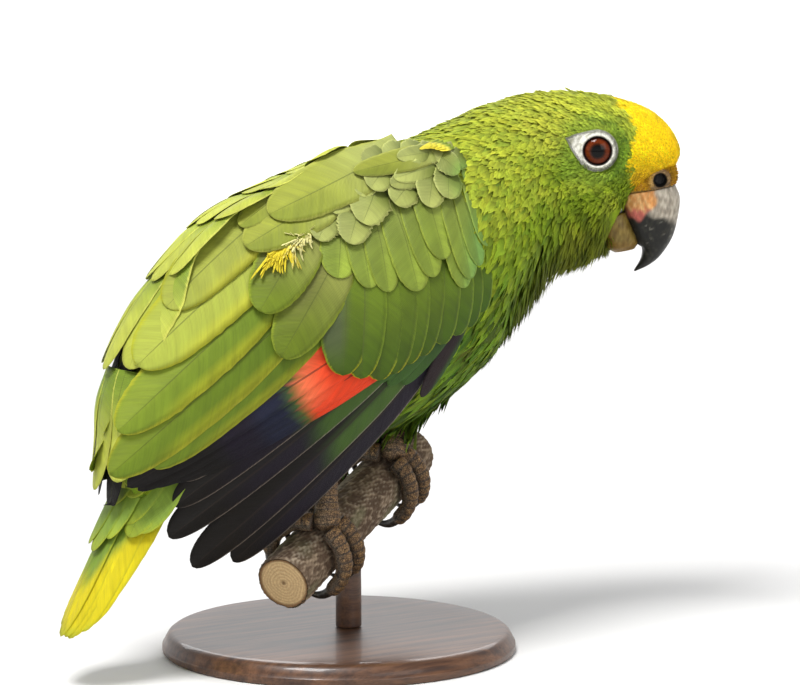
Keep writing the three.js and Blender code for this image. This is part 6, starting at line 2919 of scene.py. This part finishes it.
@dataclass(frozen=True)
class TurnedWood(Finish):
    """Dark varnished wood with long straight grain."""

    light: Rgb = tone(104, 70, 46)
    dark: Rgb = tone(56, 34, 22)

    def material(self, groups: Groups) -> Material:
        """The finished material.

        Args:
            groups: The shared node groups.

        Returns:
            The material.
        """
        graph, shader = self.start()
        broad = graph.group(
            groups.grain, Stretch_X=0.08, Stretch_Y=1.0, Stretch_Z=1.0, Scale=260.0, Low=0.35, High=0.65
        )
        pores = graph.group(
            groups.grain, Stretch_X=0.05, Stretch_Y=1.0, Stretch_Z=1.0, Scale=1400.0, Low=0.3, High=0.52
        )
        colour = graph.mix(broad.outputs["Mask"], opaque(self.dark), opaque(self.light))
        deep = graph.mix(1.0, colour, (0.6, 0.55, 0.5, 1.0), "MULTIPLY")
        colour = graph.mix(pores.outputs["Mask"], deep, colour)
        return self.finish(graph, shader, colour, pores.outputs["Height"])


@dataclass(frozen=True)
class Plain(Finish):
    """One colour, for the floor."""

    colour: Rgb = tone(222, 221, 219)

    def material(self) -> Material:
        """The finished material."""
        graph, shader = self.start()
        return self.finish(graph, shader, opaque(self.colour))


def finishes() -> dict[str, Material]:
    """Every material of the model, by name.

    Returns:
        The materials.
    """
    groups = Groups()
    kinds = (
        Plumage(
            "small_feathers", rough=0.7, specular=0.18, relief=0.00004, rim=0.86, shaft_amount=0.0,
            pitch=0.35, contrast=0.85, lane_run=0.4, lane_across=3.6,
        ),
        Plumage(
            "covert_feathers", rough=0.6, specular=0.22, relief=0.00007, rim=0.86, shaft=tone(76, 84, 34),
            shaft_width=0.022, shaft_amount=0.5, contrast=0.5,
        ),
        Plumage(
            "flight_feathers", rough=0.5, specular=0.22, relief=0.00007, rim=0.9, shaft=tone(40, 30, 24),
            shaft_width=0.05, shaft_amount=0.6, pitch=0.5, contrast=0.42,
        ),
        Stained(
            "bill_keratin", rough=0.4, specular=0.32, relief=0.00008, dark=0.72, scale=900.0,
            stretch=(1.0, 1.0, 0.35), coat=0.06,
        ),
        Stained("cere_skin", rough=0.6, relief=0.0002, dark=0.5, scale=1600.0),
        Stained("bare_skin", rough=0.62, relief=0.0001, dark=0.82, scale=1300.0),
        Stained("eye_gloss", rough=0.5, specular=0.0, relief=0.0, dark=0.85, scale=2500.0, coat=0.35),
        Stained(
            "foot_scales", rough=0.6, relief=0.00015, dark=0.74, scale=900.0, cells=1100.0, cell_depth=0.4
        ),
        Stained("claw_horn", rough=0.3, relief=0.00006, dark=0.6, scale=900.0, coat=0.2),
        Stained("branch_bark", rough=0.85, specular=0.25, relief=0.0003, dark=0.78, scale=650.0),
        Stained("sawn_wood", rough=0.75, relief=0.0001, dark=0.8, scale=1500.0),
        TurnedWood("stand_wood", rough=0.42, relief=0.00003, coat=0.25),
    )
    return {kind.name: kind.material(groups) for kind in kinds}


@dataclass(frozen=True)
class Studio:
    """A pale floor, soft lights and the camera."""

    azimuth: float = -33.0
    elevation: float = 8.0
    target: Point = (28.0, 0.0, 117.0)
    distance: float = 1500.0
    lens: float = 175.3
    sensor: float = 36.0
    clip: tuple[float, float] = (0.05, 50.0)
    floor_half: float = 6000.0
    horizon: Rgb = tone(250, 250, 250)
    zenith: Rgb = tone(148, 150, 155)

    def build(self) -> None:
        """Makes all of it."""
        self.floor()
        self.sky()
        self.lamp("key", (-620, -260, 1620), 600, 34.0, (20, 0, 110))
        self.lamp("fill", (300, -1700, 900), 1100, 8.0, (20, 0, 110))
        self.lamp("wash", (2000, 3100, 1900), 3600, 190.0, (2300, 3500, 0))
        self.camera()

    def floor(self) -> None:
        """A wide plain floor at z = 0."""
        points = self.floor_half * np.array([[-1, -1, 0], [1, -1, 0], [1, 1, 0], [-1, 1, 0]])
        made = make_piece("floor", points, [np.array([[0, 1, 2, 3]])])
        made.data.materials.append(Plain("floor_paint", rough=0.8, specular=0.2).material())

    def sky(self) -> None:
        """A pale surround, brightest at the horizon."""
        world = bpy.data.worlds.new("studio")
        world.use_nodes = True
        graph = Graph(world.node_tree)
        height = graph.add("SeparateXYZ", graph.add("TexCoord").outputs["Generated"]).outputs[2]
        colour = graph.mix(graph.step(height, 0.1, 0.7), opaque(self.horizon), opaque(self.zenith))
        graph.feed(world.node_tree.nodes["Background"].inputs["Color"], colour)
        bpy.context.scene.world = world

    def lamp(self, name: str, place: tuple, size: float, power: float, aim: tuple) -> None:
        """One soft square light.

        Args:
            name: Its name.
            place: Where it hangs, in millimetres.
            size: Its side.
            power: Its power in watts.
            aim: The point that it faces.
        """
        data = bpy.data.lights.new(name, "AREA")
        data.shape = "SQUARE"
        data.size = size * MM
        data.energy = power
        lamp = bpy.data.objects.new(name, data)
        lamp.location = Vector(place) * MM
        lamp.rotation_euler = (Vector(aim) * MM - lamp.location).to_track_quat("-Z", "Y").to_euler()
        bpy.context.scene.collection.objects.link(lamp)

    def camera(self) -> None:
        """The camera at the viewing angle."""
        turn, rise = math.radians(self.azimuth), math.radians(self.elevation)
        # Azimuth is counted from the bird's right side towards its tail.
        away = Vector((math.sin(turn) * math.cos(rise), -math.cos(turn) * math.cos(rise), math.sin(rise)))
        data = bpy.data.cameras.new("camera")
        data.lens = self.lens
        data.sensor_fit = "HORIZONTAL"
        data.sensor_width = self.sensor
        data.clip_start, data.clip_end = self.clip
        eye = bpy.data.objects.new("camera", data)
        eye.location = (Vector(self.target) + away * self.distance) * MM
        eye.rotation_euler = (-away).to_track_quat("-Z", "Y").to_euler()
        bpy.context.scene.collection.objects.link(eye)
        bpy.context.scene.camera = eye
        bpy.context.scene.view_settings.view_transform = "Standard"


def main() -> None:
    """Builds the bird and its stand, sets the studio and logs how many faces each piece has."""
    logging.basicConfig(level=logging.INFO, format="%(name)s %(message)s")
    paint = finishes()
    skin = Skin()
    skin.build(paint["small_feathers"])
    Coat(skin).build(paint["small_feathers"])
    large = {"covert": paint["covert_feathers"], "flight": paint["flight_feathers"]}
    for wing in WINGS:
        WingFeathers().build(wing, large)
    Mantle().build(paint["covert_feathers"])
    Tail().build(paint["covert_feathers"])
    Bill().build(paint["bill_keratin"], paint["cere_skin"], paint["small_feathers"])
    Eyes(EYE, skin).build(paint["eye_gloss"], paint["bare_skin"])
    Feet().build(paint["foot_scales"], paint["claw_horn"])
    Stand().build(paint["branch_bark"], paint["sawn_wood"], paint["stand_wood"])
    Studio().build()


if __name__ == "__main__":
    main()
